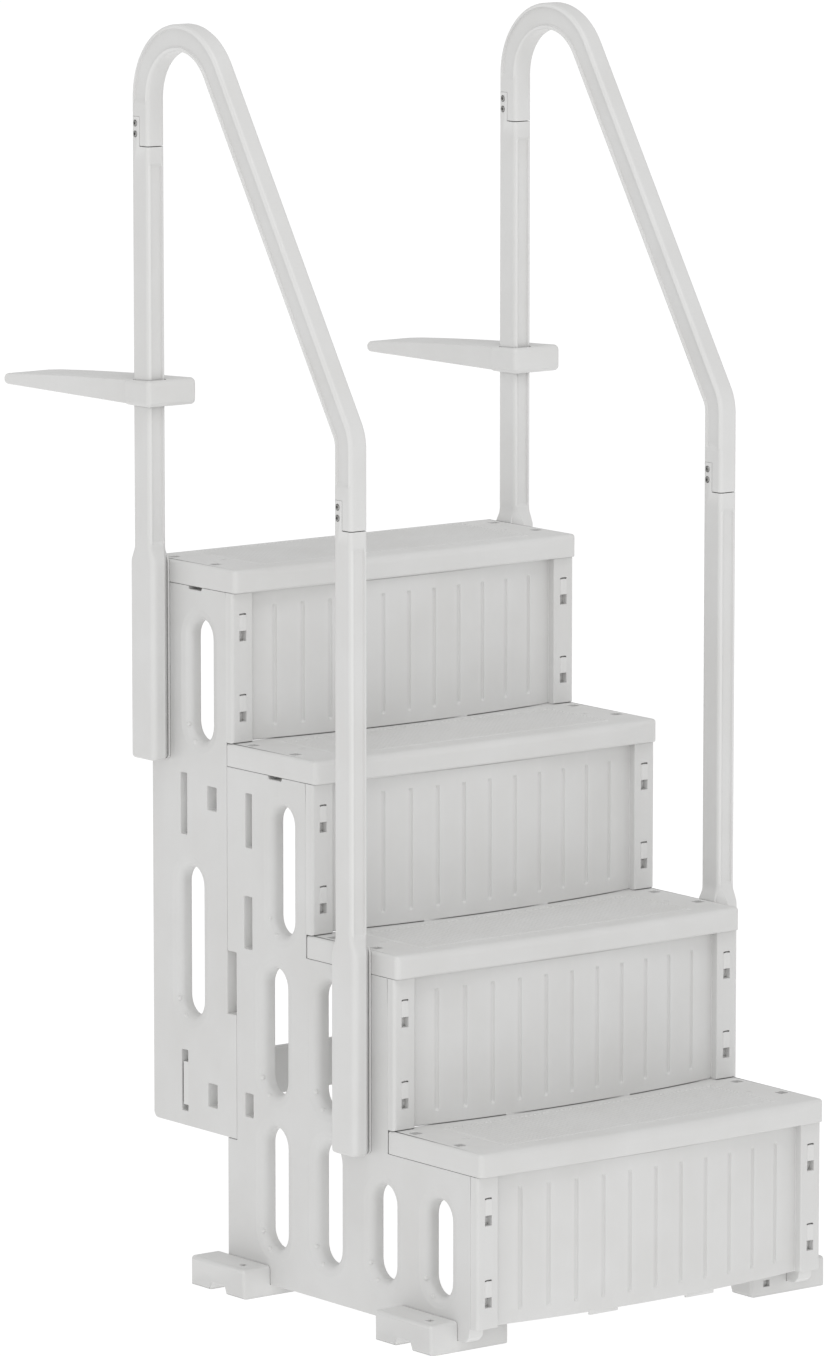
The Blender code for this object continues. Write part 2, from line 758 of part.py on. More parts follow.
def hexagon(radius):
    """A hexagon's corners with the middles of its sides between them, twelve points in all."""
    flat = radius * math.cos(math.radians(30))
    ring = []
    for i in range(12):
        angle = math.radians(30 * i)
        reach = flat if i % 2 else radius
        ring.append((reach * math.cos(angle), reach * math.sin(angle)))
    return ring


def flange_profile():
    """Side view of a deck flange about its post: flat underside, crowned top, round rear tip."""
    tip = FLANGE_LENGTH - COLLAR_FRONT
    r = FLANGE_TIP_THICKNESS / 2
    end = arc((tip - r, r), r, -90, 90, 6)
    crown = []
    for share in (0.2, 0.4, 0.6, 0.8, 1.0):
        rise = share + FLANGE_CROWN * share * (1 - share)
        height = FLANGE_TIP_THICKNESS + (FLANGE_FRONT_THICKNESS - FLANGE_TIP_THICKNESS) * rise
        crown.append((tip - FLANGE_LENGTH * share, height))
    return [(-COLLAR_FRONT, 0.0)] + end + crown


def make_flange(side_name, materials, root):
    """Deck flange with its origin on the post's axis at deck height; it slides up and down there."""
    side = SIDES[side_name]
    name = f"deck_flange_{side_name}"
    left = -RAIL_WIDTH / 2 - COLLAR_WALL
    right = left + FLANGE_WIDTH
    bm = prism(flange_profile(), [], across, left, right)
    obj = new_object(name, bm, materials["flange"], root)
    obj.location = (side * RAIL_X, REAR_POST_Y, DECK_HEIGHT)
    bevel(obj, FLANGE_EDGE, 3, 50)
    width = RAIL_WIDTH + 2 * POST_CLEARANCE
    depth = RAIL_DEPTH + 2 * POST_CLEARANCE
    eye = rounded_box_outline(width, depth, RAIL_RADIUS + POST_CLEARANCE)
    bore = loft([ring_at(eye, 0, 0, z) for z in (-0.02, FLANGE_FRONT_THICKNESS + 0.02)])
    clamp_way = bmesh.new()
    start = (width / 2 - 0.002, 0, CLAMP_LEVEL)
    add_cylinder(clamp_way, start, (right + 0.010, 0, CLAMP_LEVEL), BOLT_RADIUS + BORE_SLACK)
    pocket = bmesh.new()
    radius, deep = CLAMP_POCKET
    add_cylinder(pocket, (right - deep, 0, CLAMP_LEVEL), (right + 0.010, 0, CLAMP_LEVEL), radius, 16)
    for suffix, cutter in (("eye", bore), ("clamp_hole", clamp_way), ("clamp_pocket", pocket)):
        shape = helper(f"{name}_{suffix}", cutter, root)
        shape.location = obj.location
        cut(obj, shape)
    return obj


def make_clamp_bolt(side_name, materials, flange):
    """Bolt from the inner edge of a flange that presses on the post and holds the height."""
    end = -RAIL_WIDTH / 2 - COLLAR_WALL + FLANGE_WIDTH
    seat = end - CLAMP_POCKET[1] + CLEARANCE
    tip = RAIL_WIDTH / 2 + CLEARANCE
    head, height = CLAMP_HEAD
    rings = []
    for x, radius in ((tip, BOLT_RADIUS), (seat, BOLT_RADIUS), (seat, head), (seat + height, head)):
        ring = arc((0, CLAMP_LEVEL), radius, 0, 330, 11)
        rings.append([(x, u, v) for u, v in ring])
    new_object(f"flange_bolt_{side_name}", loft(rings), materials["screw"], flange)


def make_brace(materials, root):
    """Cross brace between the rear side panels, with a tongue through a slot at each end."""
    reach = HALF_WIDTH - PANEL_THICKNESS - CLEARANCE
    tongue = HALF_WIDTH - BRACE_SLACK
    y0 = BRACE_Y + BRACE_SLACK
    y1 = BRACE_Y + SLOT_WIDTH - BRACE_SLACK
    bottom, top = BRACE_BOTTOM, BRACE_BOTTOM + BRACE_HEIGHT
    low, high = bottom + BRACE_SHOULDER, top - BRACE_SHOULDER
    outline = [(-reach, bottom), (reach, bottom), (reach, low), (tongue, low), (tongue, high)]
    outline += [(reach, high), (reach, top), (-reach, top), (-reach, high)]
    outline += [(-tongue, high), (-tongue, low), (-reach, low)]
    bm = prism(outline, [], lambda u, v, w: (u, w, v), y0, y1)
    return new_object("rear_brace", bm, materials["brace"], root)


def make_root():
    """The empty that puts the world origin at the bottom centre of the ladder's box."""
    leftmost = -max(RAIL_X + RAIL_WIDTH / 2 + COLLAR_WALL, HALF_WIDTH + FOOT_OUT)
    rightmost = RAIL_X - RAIL_WIDTH / 2 - COLLAR_WALL + FLANGE_WIDTH
    rearmost = REAR_POST_Y - COLLAR_FRONT + FLANGE_LENGTH
    foremost = nose_y(0, 0)
    root = bpy.data.objects.new("ladder_frame", None)
    bpy.context.scene.collection.objects.link(root)
    root.location = (-(leftmost + rightmost) / 2, -(foremost + rearmost) / 2, 0.0)
    return root


def main():
    clear_scene()
    materials = make_materials()
    root = make_root()
    for step in range(1, STEPS + 1):
        make_tread(step, materials, root)
        make_riser(step, materials, root)
    for side_name in SIDES:
        for which in ("front", "rear"):
            make_side_panel(which, side_name, materials, root)
            make_foot(which, side_name, materials, root)
            make_post(which, side_name, materials, root)
            make_screws(which, side_name, materials, root)
            make_bolts(which, side_name, materials, root)
        make_bow(side_name, materials, root)
        flange = make_flange(side_name, materials, root)
        make_clamp_bolt(side_name, materials, flange)
    make_brace(materials, root)


main()
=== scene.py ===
"""Looks of the four-step in-pool ladder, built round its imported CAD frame.

Every moulding is built in the stair's own frame: X = 0 midway between the side panels, Y = 0 on
the flat front of the lowest riser, Z = 0 on the floor. add_piece() then moves it to its place.
"""
import math

import bmesh
import bpy
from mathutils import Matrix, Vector


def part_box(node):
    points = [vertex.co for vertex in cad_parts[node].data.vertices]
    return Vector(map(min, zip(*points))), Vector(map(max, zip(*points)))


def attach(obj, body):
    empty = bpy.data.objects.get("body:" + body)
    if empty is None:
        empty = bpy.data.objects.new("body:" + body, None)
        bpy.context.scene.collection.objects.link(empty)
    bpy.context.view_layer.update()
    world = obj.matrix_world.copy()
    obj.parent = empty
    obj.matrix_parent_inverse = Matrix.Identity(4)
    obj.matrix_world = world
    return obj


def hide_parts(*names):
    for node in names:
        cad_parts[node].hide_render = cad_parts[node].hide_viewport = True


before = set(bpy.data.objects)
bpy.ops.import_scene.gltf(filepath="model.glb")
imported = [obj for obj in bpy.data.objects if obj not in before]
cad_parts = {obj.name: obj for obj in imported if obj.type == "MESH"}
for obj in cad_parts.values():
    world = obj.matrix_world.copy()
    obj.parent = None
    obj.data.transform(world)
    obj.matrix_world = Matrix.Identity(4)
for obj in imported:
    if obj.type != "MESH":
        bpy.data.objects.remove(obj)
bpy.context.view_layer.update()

MM = 0.001
STEPS = 4
SIDES = {"left": -1.0, "right": 1.0}
# Clearance between two pieces, and how far a cutter runs past the face it cuts
GAP = 0.3 * MM
PAST = 9 * MM

# Risers, in metres
RETURN_DEPTH = 15.5 * MM
STRIP_WIDTH = 37.5 * MM
WEB_THICKNESS = 6 * MM
WEB_RECESS = 12 * MM
WEB_BOW = 21 * MM
GROOVES = 11
GROOVE_PITCH = 47 * MM
GROOVE_REACH = 3.9 * MM
GROOVE_DEPTH = 2.8 * MM
GROOVE_FOOT = 18 * MM
GROOVE_HEAD = 21 * MM
LATCH_X = 297 * MM
LATCH_HALF = 6.2 * MM
LATCH_TOPS = (64 * MM, 182 * MM)
SLIT_HEIGHT = 2.4 * MM
SLIT_ARCH = 0.7 * MM
LATCH_HOLE_TOP = 26 * MM
LATCH_HOLE_HEIGHT = 15 * MM
LATCH_DEPTH = 10 * MM
TONGUE_RISE = 0.7 * MM
TAB_CENTRES = (-92 * MM, 85 * MM)
TAB_WIDTH = 52 * MM
TAB_DROP = 4 * MM
TAB_THICKNESS = (1 * MM, 5 * MM)
TAB_ROOT = 3 * MM
RISER_LIFT = 0.6 * MM
RISER_EDGE = 1.5 * MM
RISER_EDGE_SINK = 1.2 * MM
GROOVE_FADE = 5 * MM
LATCH_EDGE = 0.35 * MM
SLIT_DEPTH = 3 * MM

# Treads
NOSE_SWEEP = 9 * MM
NOSE_CORNER_RADIUS = 8 * MM
NOSE_ROUNDING = 12 * MM
END_WEIGHT = 0.38
LOWER_ROUNDING = 4 * MM
TREAD_SKIN = 6 * MM
BAYS = 5
BAY_RIB = 8 * MM
BAY_INSET = 33 * MM
BAY_FRONT = 40 * MM
BAY_REAR = 36 * MM
HATCH_PITCH = 8 * MM
HATCH_RISE = 1.5 * MM
HATCH_HALF = 250 * MM
HATCH_BORDER = 27 * MM
HATCH_REAR = 38 * MM
HATCH_TOP_REAR = 12 * MM
TREAD_HOLE = 15 * MM
TREAD_HOLE_DEPTH = 24 * MM
# How far out and back each hole sits; the dimple adds its width and depth
TREAD_HOLES = ((297 * MM, 66 * MM), (297 * MM, 167 * MM))
DIMPLE = (261 * MM, 97 * MM, 9 * MM, 0.8 * MM)

# Side panels
HOLE_WIDTH = 53.5 * MM
RIM_RADIUS = 12 * MM
SEAM = 0.6 * MM
NUB_RADIUS = 3.6 * MM
NUB_SINK = 3.4 * MM
HOOK_TOP = 494.5 * MM
TONGUE_TOP = 401.6 * MM
NOTCH_BACK = 74 * MM
NOTCH_HALVES = (17 * MM, 15 * MM)
NOTCH_DEPTH = 5 * MM
REAR_NOTCH_BACK = 75 * MM
REAR_NOTCH_DEPTH = 4.7 * MM
NUBS = ((31 * MM, 22 * MM), (15 * MM, -2 * MM))
HOLE_COLUMN = 111 * MM
HOLE_PITCH = 128.6 * MM
# Bottoms and tops of the stadium holes in mm, from the rear column forwards
LOW_SPANS = ((70, 249), (70, 249), (70, 210), (70, 210))
MIDDLE_SPANS = ((297, 484), (297, 484))
# How far in front of the rear column it sits, its width, bottom and top, in mm
UPPER_HOLE = (19, 50, 535, 723)
# Centre, bottom and top of each hole, in mm
REAR_HOLES = ((655.4, 793, 972), (680.2, 383, 605))
# Front, back, bottom and top of the square-cut slots, in mm
FRONT_SLOTS = ((528.1, 543.7, 653, 733), (527.9, 547.0, 504, 581.5), (526.2, 546.0, 256, 291))
REAR_SLOTS = ((686.2, 701.8, 652, 743), (686.2, 701.8, 240, 331))
REAR_SQUARES = ((614.0, 636.5, 695.5, 730.5), (614.0, 636.5, 255.5, 290.5))

# Feet and brace
FOOT_CHANNEL_HALVES = (20 * MM, 16 * MM)
FOOT_CHANNEL_DEPTH = 10 * MM
FOOT_EDGE = 5 * MM
FOOT_GAP = 0.4 * MM
# How far out and back the mark sits, its half width and its depth
FOOT_MARK = (27 * MM, 29 * MM, 5 * MM, 4 * MM)
# How far in the window sits, its half width and depth, and its bottom and top
FOOT_WINDOW = (63 * MM, 6 * MM, 7 * MM, (13 * MM, 23 * MM))
BRACE_NOTCH = 3 * MM
BRACE_BAYS = 6
BRACE_RIB = 10 * MM
BRACE_BAY_DEPTH = 5 * MM

# Rails
RAIL_WIDTH = 31 * MM
RAIL_DEPTH = 39.5 * MM
RAIL_CORNER = 5.5 * MM
JOINT_GAP = 1.2 * MM
LAP = 43 * MM
CHANNEL_DEPTH = 3 * MM
CHANNEL_RAMP = 8 * MM
POST_CHANNEL_HEAD = 22 * MM
BEND_Z = 1.2787
BEND_RADIUS = 50 * MM
BOW_RADIUS = 92 * MM
RAIL_SLANT = math.radians(32.1)
BOW_CHANNEL = (1.719, 1.209)
BOOT_DEPTH = 58 * MM
BOOT_HEIGHT = 288 * MM
BOOT_FLARE = 26 * MM
BOOT_CHAMFER = 14 * MM
BOOT_LIP = 3 * MM
BOOT_OUT = 1 * MM
BOOT_TIP = 5 * MM
CHANNEL_SLOPE = 1.3 * MM
CHANNEL_LEAD = 1 * MM
SCREW_BACK = 10.5 * MM
# Radius and depth of the recess, then (depth, radius) along the screw in mm
SCREW_SINK = (5 * MM, 1.6 * MM)
SCREW_SHANK = ((9.0, 2.0), (1.5, 2.0))
SCREW_HEAD = ((1.5, 4.3), (0.3, 4.3), (-0.4, 3.8), (-0.8, 2.9), (-0.8, 2.5), (1.2, 2.3))
SCREW_RISES = (17.7 * MM, 33.3 * MM)

# Deck flanges
COLLAR_RIM = 1.2 * MM
COLLAR_LENGTH = 57 * MM
WING_RECESS = 2.5 * MM
FLANGE_TIP = 16.5 * MM
FLANGE_CROWN = 0.39
FLANGE_EDGE = 7 * MM
EYE_CLEARANCE = 1.2 * MM
EYE_FRONT = 2 * MM
# Radius and depth
CLAMP_POCKET = (8.5 * MM, 14 * MM)
CLAMP_LEVEL = 20 * MM

# Camera: angle of the photograph, and a long lens at the matching distance
CAMERA_PLACE = (-7.3538, -9.4406, 2.7424)
CAMERA_YAW = 37.785
CAMERA_PITCH = 8.893
CAMERA_LENS = 219.45
CAMERA_SENSOR = 36.0

tread_low, tread_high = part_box("tread_1")
HALF_WIDTH = (tread_high.x - tread_low.x) / 2
ORIGIN = Vector(((tread_low.x + tread_high.x) / 2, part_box("riser_1")[1].y - RETURN_DEPTH, 0.0))


def stair_box(node):
    """Lowest and highest corner of a CAD node, in the stair's own frame."""
    low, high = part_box(node)
    return low - ORIGIN, high - ORIGIN


# ---------------------------------------------------------------- outlines


def arc(centre, radius, start, end, steps):
    """Points on an arc between two angles in degrees, both ends included."""
    points = []
    for i in range(steps + 1):
        angle = math.radians(start + (end - start) * i / steps)
        points.append((centre[0] + radius * math.cos(angle), centre[1] + radius * math.sin(angle)))
    return points


def stadium(centre, width, low, high, steps=14):
    """An upright slot with round ends, counter-clockwise."""
    r = width / 2
    return arc((centre, high - r), r, 0, 180, steps) + arc((centre, low + r), r, 180, 360, steps)


def rounded_rectangle(u0, u1, v0, v1, radius, steps=4):
    """A rectangle with rounded corners, counter-clockwise."""
    outline = arc((u1 - radius, v1 - radius), radius, 0, 90, steps)
    outline += arc((u0 + radius, v1 - radius), radius, 90, 180, steps)
    outline += arc((u0 + radius, v0 + radius), radius, 180, 270, steps)
    outline += arc((u1 - radius, v0 + radius), radius, 270, 360, steps)
    return outline


def offset(loop, distance, weight=None):
    """Move a counter-clockwise loop outward, by more or less at each point if weight says so."""
    moved = []
    for i, (u, v) in enumerate(loop):
        before, after = loop[i - 1], loop[(i + 1) % len(loop)]
        first = Vector((u - before[0], v - before[1])).normalized()
        second = Vector((after[0] - u, after[1] - v)).normalized()
        miter = Vector((first.y + second.y, -first.x - second.x))
        reach = distance * (weight(u, v) if weight else 1.0) * 2 / miter.length_squared
        moved.append((u + reach * miter.x, v + reach * miter.y))
    return moved


def rounding(radius, steps=4):
    """Edge profile of a quarter round, as (distance in from the wall, drop from the face)."""
    angles = [math.pi / 2 * i / steps for i in range(steps + 1)]
    return [(radius * (1 - math.sin(a)), radius * (1 - math.cos(a))) for a in angles]


def dished(radius, reach, drop):
    """Edge profile that sags gently over a reach before it rounds off into the wall."""
    lead = [(reach + radius, 0.0), (reach * 0.6 + radius, drop * 0.25), (reach * 0.25 + radius, drop * 0.75)]
    return lead + [(u, v + drop) for u, v in rounding(radius, 7)]


# ---------------------------------------------------------------- meshes


def bridge(bm, low, high):
    """Quads between two rings of the same length."""
    count = len(low)
    for i in range(count):
        j = (i + 1) % count
        bm.faces.new((low[i], low[j], high[j], high[i]))


def add_rings(bm, rings):
    """Skin a stack of point rings, and return the rings of vertices."""
    rows = [[bm.verts.new(point) for point in ring] for ring in rings]
    for low, high in zip(rows, rows[1:]):
        bridge(bm, low, high)
    return rows


def add_loft(bm, rings):
    """A closed solid through a stack of rings."""
    rows = add_rings(bm, rings)
    bm.faces.new(rows[0])
    bm.faces.new(rows[-1])


def fill(bm, rings):
    """A flat face inside the first ring, with the other rings as its holes."""
    if len(rings) == 1:
        bm.faces.new(rings[0])
        return
    edges = []
    for ring in rings:
        for i, vert in enumerate(ring):
            edges.append(bm.edges.get((vert, ring[i - 1])))
    bmesh.ops.triangle_fill(bm, edges=edges, use_beauty=True)


def add_plate(bm, place, low, high, outline, edges, holes=(), pockets=(), weight=None):
    """A moulding of even thickness, its edges rounded, with holes through it and blind pockets.

    place(u, v, w) turns a point of the outline at level w into x, y, z. edges holds the edge
    profiles of the high and of the low face. Each hole is (loop, high profile, low profile) and
    each pocket is (loop, profile, depth), from the high face if its depth is positive and else
    from the low one.
    """
    high_caps, low_caps = [], []
    walls = [(outline, edges[0], edges[1], -1, weight)]
    walls += [(loop, near, far, 1, None) for loop, near, far in holes]
    for loop, high_edge, low_edge, direction, scale in walls:
        stations = [(inset, high, -drop) for inset, drop in high_edge]
        stations += [(inset, low, drop) for inset, drop in reversed(low_edge)]
        rings = []
        for inset, level, rise in stations:
            moved = offset(loop, direction * inset, scale)
            factors = [scale(u, v) if scale else 1.0 for u, v in loop]
            rings.append([place(u, v, level + rise * f) for (u, v), f in zip(moved, factors)])
        rows = add_rings(bm, rings)
        high_caps.append(rows[0])
        low_caps.append(rows[-1])
    for loop, profile, depth in pockets:
        level = high if depth > 0 else low
        sign = -1 if depth > 0 else 1
        stations = [(inset, level + sign * drop) for inset, drop in profile] + [(0.0, level - depth)]
        rings = [[place(u, v, w) for u, v in offset(loop, inset)] for inset, w in stations]
        rows = add_rings(bm, rings)
        bm.faces.new(rows[-1])
        (high_caps if depth > 0 else low_caps).append(rows[0])
    fill(bm, high_caps)
    fill(bm, low_caps)


def add_dome(bm, place, centre, radius):
    """A low round nub rooted below a face; place() turns its third coordinate into a level."""
    rings = []
    for share, rise in ((1.0, -1.5), (1.0, -0.1), (0.88, 0.25), (0.55, 0.5), (0.15, 0.6)):
        ring = arc(centre, radius * share, 0, 330, 11)
        rings.append([place(u, v, radius * rise) for u, v in ring])
    add_loft(bm, rings)


def mesh_from(bm, name):
    bmesh.ops.remove_doubles(bm, verts=bm.verts, dist=1e-6)
    bmesh.ops.recalc_face_normals(bm, faces=bm.faces)
    bmesh.ops.translate(bm, verts=bm.verts, vec=ORIGIN)
    mesh = bpy.data.meshes.new(name)
    bm.to_mesh(mesh)
    bm.free()
    return mesh


def make_object(name, mesh):
    obj = bpy.data.objects.new(name, mesh)
    bpy.context.scene.collection.objects.link(obj)
    return obj


def carve(obj, cutters):
    """Cut closed shapes away, and keep the result as the object's own mesh."""
    helpers = []
    for bm in cutters:
        helper = make_object("helper", mesh_from(bm, "helper"))
        modifier = obj.modifiers.new("carve", "BOOLEAN")
        modifier.operation = "DIFFERENCE"
        modifier.solver = "EXACT"
        modifier.object = helper
        helpers.append(helper)
    graph = bpy.context.evaluated_depsgraph_get()
    result = bpy.data.meshes.new_from_object(obj.evaluated_get(graph))
    obj.modifiers.clear()
    obj.data = result
    for helper in helpers:
        bpy.data.objects.remove(helper, do_unlink=True)


def box_mesh(low, high):
    """A closed box, for carving."""
    bm = bmesh.new()
    cube = bmesh.ops.create_cube(bm, size=1.0)
    centre, size = (Vector(low) + Vector(high)) / 2, Vector(high) - Vector(low)
    for vert in cube["verts"]:
        vert.co = Vector(c * s for c, s in zip(vert.co, size)) + centre
    return bm


def finish_piece(obj, material, body, node, seam_radius=0.0):
    """Shade a piece, round the edges that carving left sharp, and hang it on the frame."""
    mesh = obj.data
    mesh.materials.clear()
    mesh.materials.append(material)
    mesh.shade_smooth()
    mesh.set_sharp_from_angle(angle=math.radians(42))
    if seam_radius:
        bevel = obj.modifiers.new("rounded_seams", "BEVEL")
        bevel.width = seam_radius
        bevel.segments = 2
        bevel.limit_method = "ANGLE"
        bevel.angle_limit = math.radians(62)
        bevel.use_clamp_overlap = True
    weighted = obj.modifiers.new("even_shading", "WEIGHTED_NORMAL")
    weighted.keep_sharp = True
    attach(obj, body)
    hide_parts(node)
    return obj


def add_piece(name, bm, material, node, body="stair"):
    obj = make_object(name, mesh_from(bm, name))
    return finish_piece(obj, material, body, node)


# ---------------------------------------------------------------- materials


def new_material(name):
    material = bpy.data.materials.new(name)
    material.use_nodes = True
    tree = material.node_tree
    return material, tree, tree.nodes["Principled BSDF"]


def noise(tree, vector, scale, detail=3.0, roughness=0.55):
    node = tree.nodes.new("ShaderNodeTexNoise")
    node.inputs["Scale"].default_value = scale
    node.inputs["Detail"].default_value = detail
    node.inputs["Roughness"].default_value = roughness
    tree.links.new(vector, node.inputs["Vector"])
    return node.outputs["Fac"]


def remap(tree, value, low, high, to_low, to_high):
    node = tree.nodes.new("ShaderNodeMapRange")
    node.inputs["From Min"].default_value = low
    node.inputs["From Max"].default_value = high
    node.inputs["To Min"].default_value = to_low
    node.inputs["To Max"].default_value = to_high
    tree.links.new(value, node.inputs["Value"])
    return node.outputs["Result"]


def mix_colour(tree, factor, first, second):
    """Blend two colours; either one may be a socket instead."""
    node = tree.nodes.new("ShaderNodeMix")
    node.data_type = "RGBA"
    tree.links.new(factor, node.inputs[0])
    for socket, colour in ((node.inputs[6], first), (node.inputs[7], second)):
        if isinstance(colour, tuple):
            socket.default_value = (*colour, 1.0)
        else:
            tree.links.new(colour, socket)
    return node.outputs[2]


def add_bump(tree, height, strength, distance, below=None):
    node = tree.nodes.new("ShaderNodeBump")
    node.inputs["Strength"].default_value = strength
    node.inputs["Distance"].default_value = distance
    tree.links.new(height, node.inputs["Height"])
    if below:
        tree.links.new(below, node.inputs["Normal"])
    return node.outputs["Normal"]


def plastic(name, shade, roughness, grain, grain_depth):
    """Moulded pool plastic: off-white, stippled, with flow marks, worn edges and painted shade darkening its
    crevices and gaps.
    """
    material, tree, shader = new_material(name)
    place = tree.nodes.new("ShaderNodeTexCoord").outputs["Object"]
    base = (shade, shade * 0.999, shade * 0.990)
    dusty = (shade * 0.95, shade * 0.945, shade * 0.93)
    worn = (min(shade * 1.12, 0.9), min(shade * 1.118, 0.9), min(shade * 1.105, 0.9))
    clouds = remap(tree, noise(tree, place, 9.0, 4.0), 0.35, 0.75, 0.0, 1.0)
    colour = mix_colour(tree, clouds, base, dusty)
    edge = tree.nodes.new("ShaderNodeNewGeometry").outputs["Pointiness"]
    wear = remap(tree, edge, 0.515, 0.60, 0.0, 0.55)
    colour = mix_colour(tree, wear, colour, worn)
    # Painted shade: an ambient occlusion mask darkens the colour in crevices, seams and narrow gaps, where
    # shade falls
    shadow = tree.nodes.new("ShaderNodeAmbientOcclusion")
    shadow.samples = 6
    shadow.inputs["Distance"].default_value = 7 * MM
    depth = remap(tree, shadow.outputs["AO"], 0.10, 0.45, 1.0, 0.0)
    # Near-black colour painted in as shade where the occlusion mask (depth) is high
    crevice_shade = (shade * 0.10, shade * 0.098, shade * 0.092)
    colour = mix_colour(tree, depth, colour, crevice_shade)
    tree.links.new(colour, shader.inputs["Base Color"])
    streaks = noise(tree, place, 38.0, 3.0)
    gloss = remap(tree, streaks, 0.3, 0.7, roughness - 0.06, roughness + 0.07)
    tree.links.new(gloss, shader.inputs["Roughness"])
    flow = add_bump(tree, noise(tree, place, 26.0, 2.0), 0.10, 2 * MM)
    fine = add_bump(tree, noise(tree, place, grain, 2.0, 0.6), grain_depth, 0.25 * MM, flow)
    tree.links.new(fine, shader.inputs["Normal"])
    shader.inputs["IOR"].default_value = 1.49
    shader.inputs["Coat Weight"].default_value = 0.06
    shader.inputs["Coat Roughness"].default_value = 0.35
    return material


def metal(name, shade, roughness):
    """Brushed fastener steel: fine turned scratches and a few duller spots."""
    material, tree, shader = new_material(name)
    place = tree.nodes.new("ShaderNodeTexCoord").outputs["Object"]
    spots = remap(tree, noise(tree, place, 420.0, 4.0), 0.4, 0.7, 0.0, 1.0)
    bright = (shade, shade, shade * 0.985)
    dull = (shade * 0.72, shade * 0.70, shade * 0.67)
    tree.links.new(mix_colour(tree, spots, bright, dull), shader.inputs["Base Color"])
    tree.links.new(remap(tree, spots, 0.0, 1.0, roughness, roughness + 0.2), shader.inputs["Roughness"])
    scratches = add_bump(tree, noise(tree, place, 1800.0, 2.0), 0.25, 0.05 * MM)
    tree.links.new(scratches, shader.inputs["Normal"])
    shader.inputs["Metallic"].default_value = 1.0
    return material


def make_materials():
    return {
        "tread": plastic("tread_plastic", 0.68, 0.56, 900.0, 0.35),
        "riser": plastic("riser_plastic", 0.68, 0.50, 1100.0, 0.22),
        "panel": plastic("panel_plastic", 0.68, 0.52, 1000.0, 0.25),
        "foot": plastic("foot_plastic", 0.65, 0.55, 900.0, 0.30),
        "post": plastic("post_plastic", 0.69, 0.42, 1200.0, 0.15),
        "rail": plastic("rail_plastic", 0.69, 0.40, 1200.0, 0.15),
        "flange": plastic("flange_plastic", 0.69, 0.46, 1100.0, 0.20),
        "brace": plastic("brace_plastic", 0.66, 0.52, 1000.0, 0.25),
        "fastener": metal("fastener_steel", 0.42, 0.30),
    }


# ---------------------------------------------------------------- treads


def upright(u, v, w):
    """Outline in x, y with its level along Z."""
    return (u, v, w)


def tread_outline(low, high):
    """Plan of a tread: nose bowed forward between rounded corners, square at the rear."""
    r = NOSE_CORNER_RADIUS
    reach = HALF_WIDTH - r
    shoulder = low.y + NOSE_SWEEP * (reach / HALF_WIDTH) ** 2
    xs = [reach * (2 * i / 32 - 1) for i in range(33)]
    nose = [(x, low.y + NOSE_SWEEP * (x / HALF_WIDTH) ** 2) for x in xs]
    left = arc((-reach, shoulder + r), r, 180, 262, 5)
    right = arc((reach, shoulder + r), r, 278, 360, 5)
    rear = 2 * MM
    back = arc((HALF_WIDTH - rear, high.y - rear), rear, 0, 90, 3)
    back += arc((-HALF_WIDTH + rear, high.y - rear), rear, 90, 180, 3)
    return left + nose + right + back


def square(u, v, size, radius=1.5 * MM):
    """A small rounded square around a centre."""
    half = size / 2
    return rounded_rectangle(u - half, u + half, v - half, v + half, radius, 2)


def tread_pockets(low, high, front):
    """Latch holes in the top at both ends, and the bays between the ribs underneath."""
    pockets = []
    for side in SIDES.values():
        for aside, back in TREAD_HOLES:
            hole = square(side * aside, front + back, TREAD_HOLE)
            pockets.append((hole, rounding(0.5 * MM, 2), TREAD_HOLE_DEPTH))
        aside, back, size, depth = DIMPLE
        dimple = square(side * aside, front + back, size)
        pockets.append((dimple, rounding(0.5 * MM, 2), depth))
    reach = HALF_WIDTH - BAY_INSET
    pitch = (2 * reach + BAY_RIB) / BAYS
    for i in range(BAYS):
        x = -reach + i * pitch
        bay = rounded_rectangle(x, x + pitch - BAY_RIB, front + BAY_FRONT, high.y - BAY_REAR, 5 * MM)
        pockets.append((bay, rounding(1 * MM, 2), -(high.z - low.z - TREAD_SKIN)))
    return pockets


def add_hatch(bm, x0, x1, y0, y1, z):
    """Non-slip field: a sheet of low diamond points that share their corners."""
    columns, rows = round((x1 - x0) / HATCH_PITCH), round((y1 - y0) / HATCH_PITCH)
    dx, dy = (x1 - x0) / columns, (y1 - y0) / rows
    floor = z - 0.35 * MM
    rim = z - 1.5 * MM
    grid = {}
    for i in range(columns + 1):
        for j in range(rows + 1):
            edge = i in (0, columns) or j in (0, rows)
            grid[i, j] = bm.verts.new((x0 + i * dx, y0 + j * dy, rim if edge else floor))
    for i in range(columns):
        for j in range(rows):
            peak = bm.verts.new((x0 + (i + 0.5) * dx, y0 + (j + 0.5) * dy, z + HATCH_RISE))
            ring = [grid[i, j], grid[i + 1, j], grid[i + 1, j + 1], grid[i, j + 1]]
            for a, b in zip(ring, ring[1:] + ring[:1]):
                bm.faces.new((a, b, peak))
    border = [grid[i, 0] for i in range(columns + 1)]
    border += [grid[columns, j] for j in range(1, rows + 1)]
    border += [grid[i, rows] for i in range(columns - 1, -1, -1)]
    border += [grid[0, j] for j in range(rows - 1, 0, -1)]
    bm.faces.new(border)


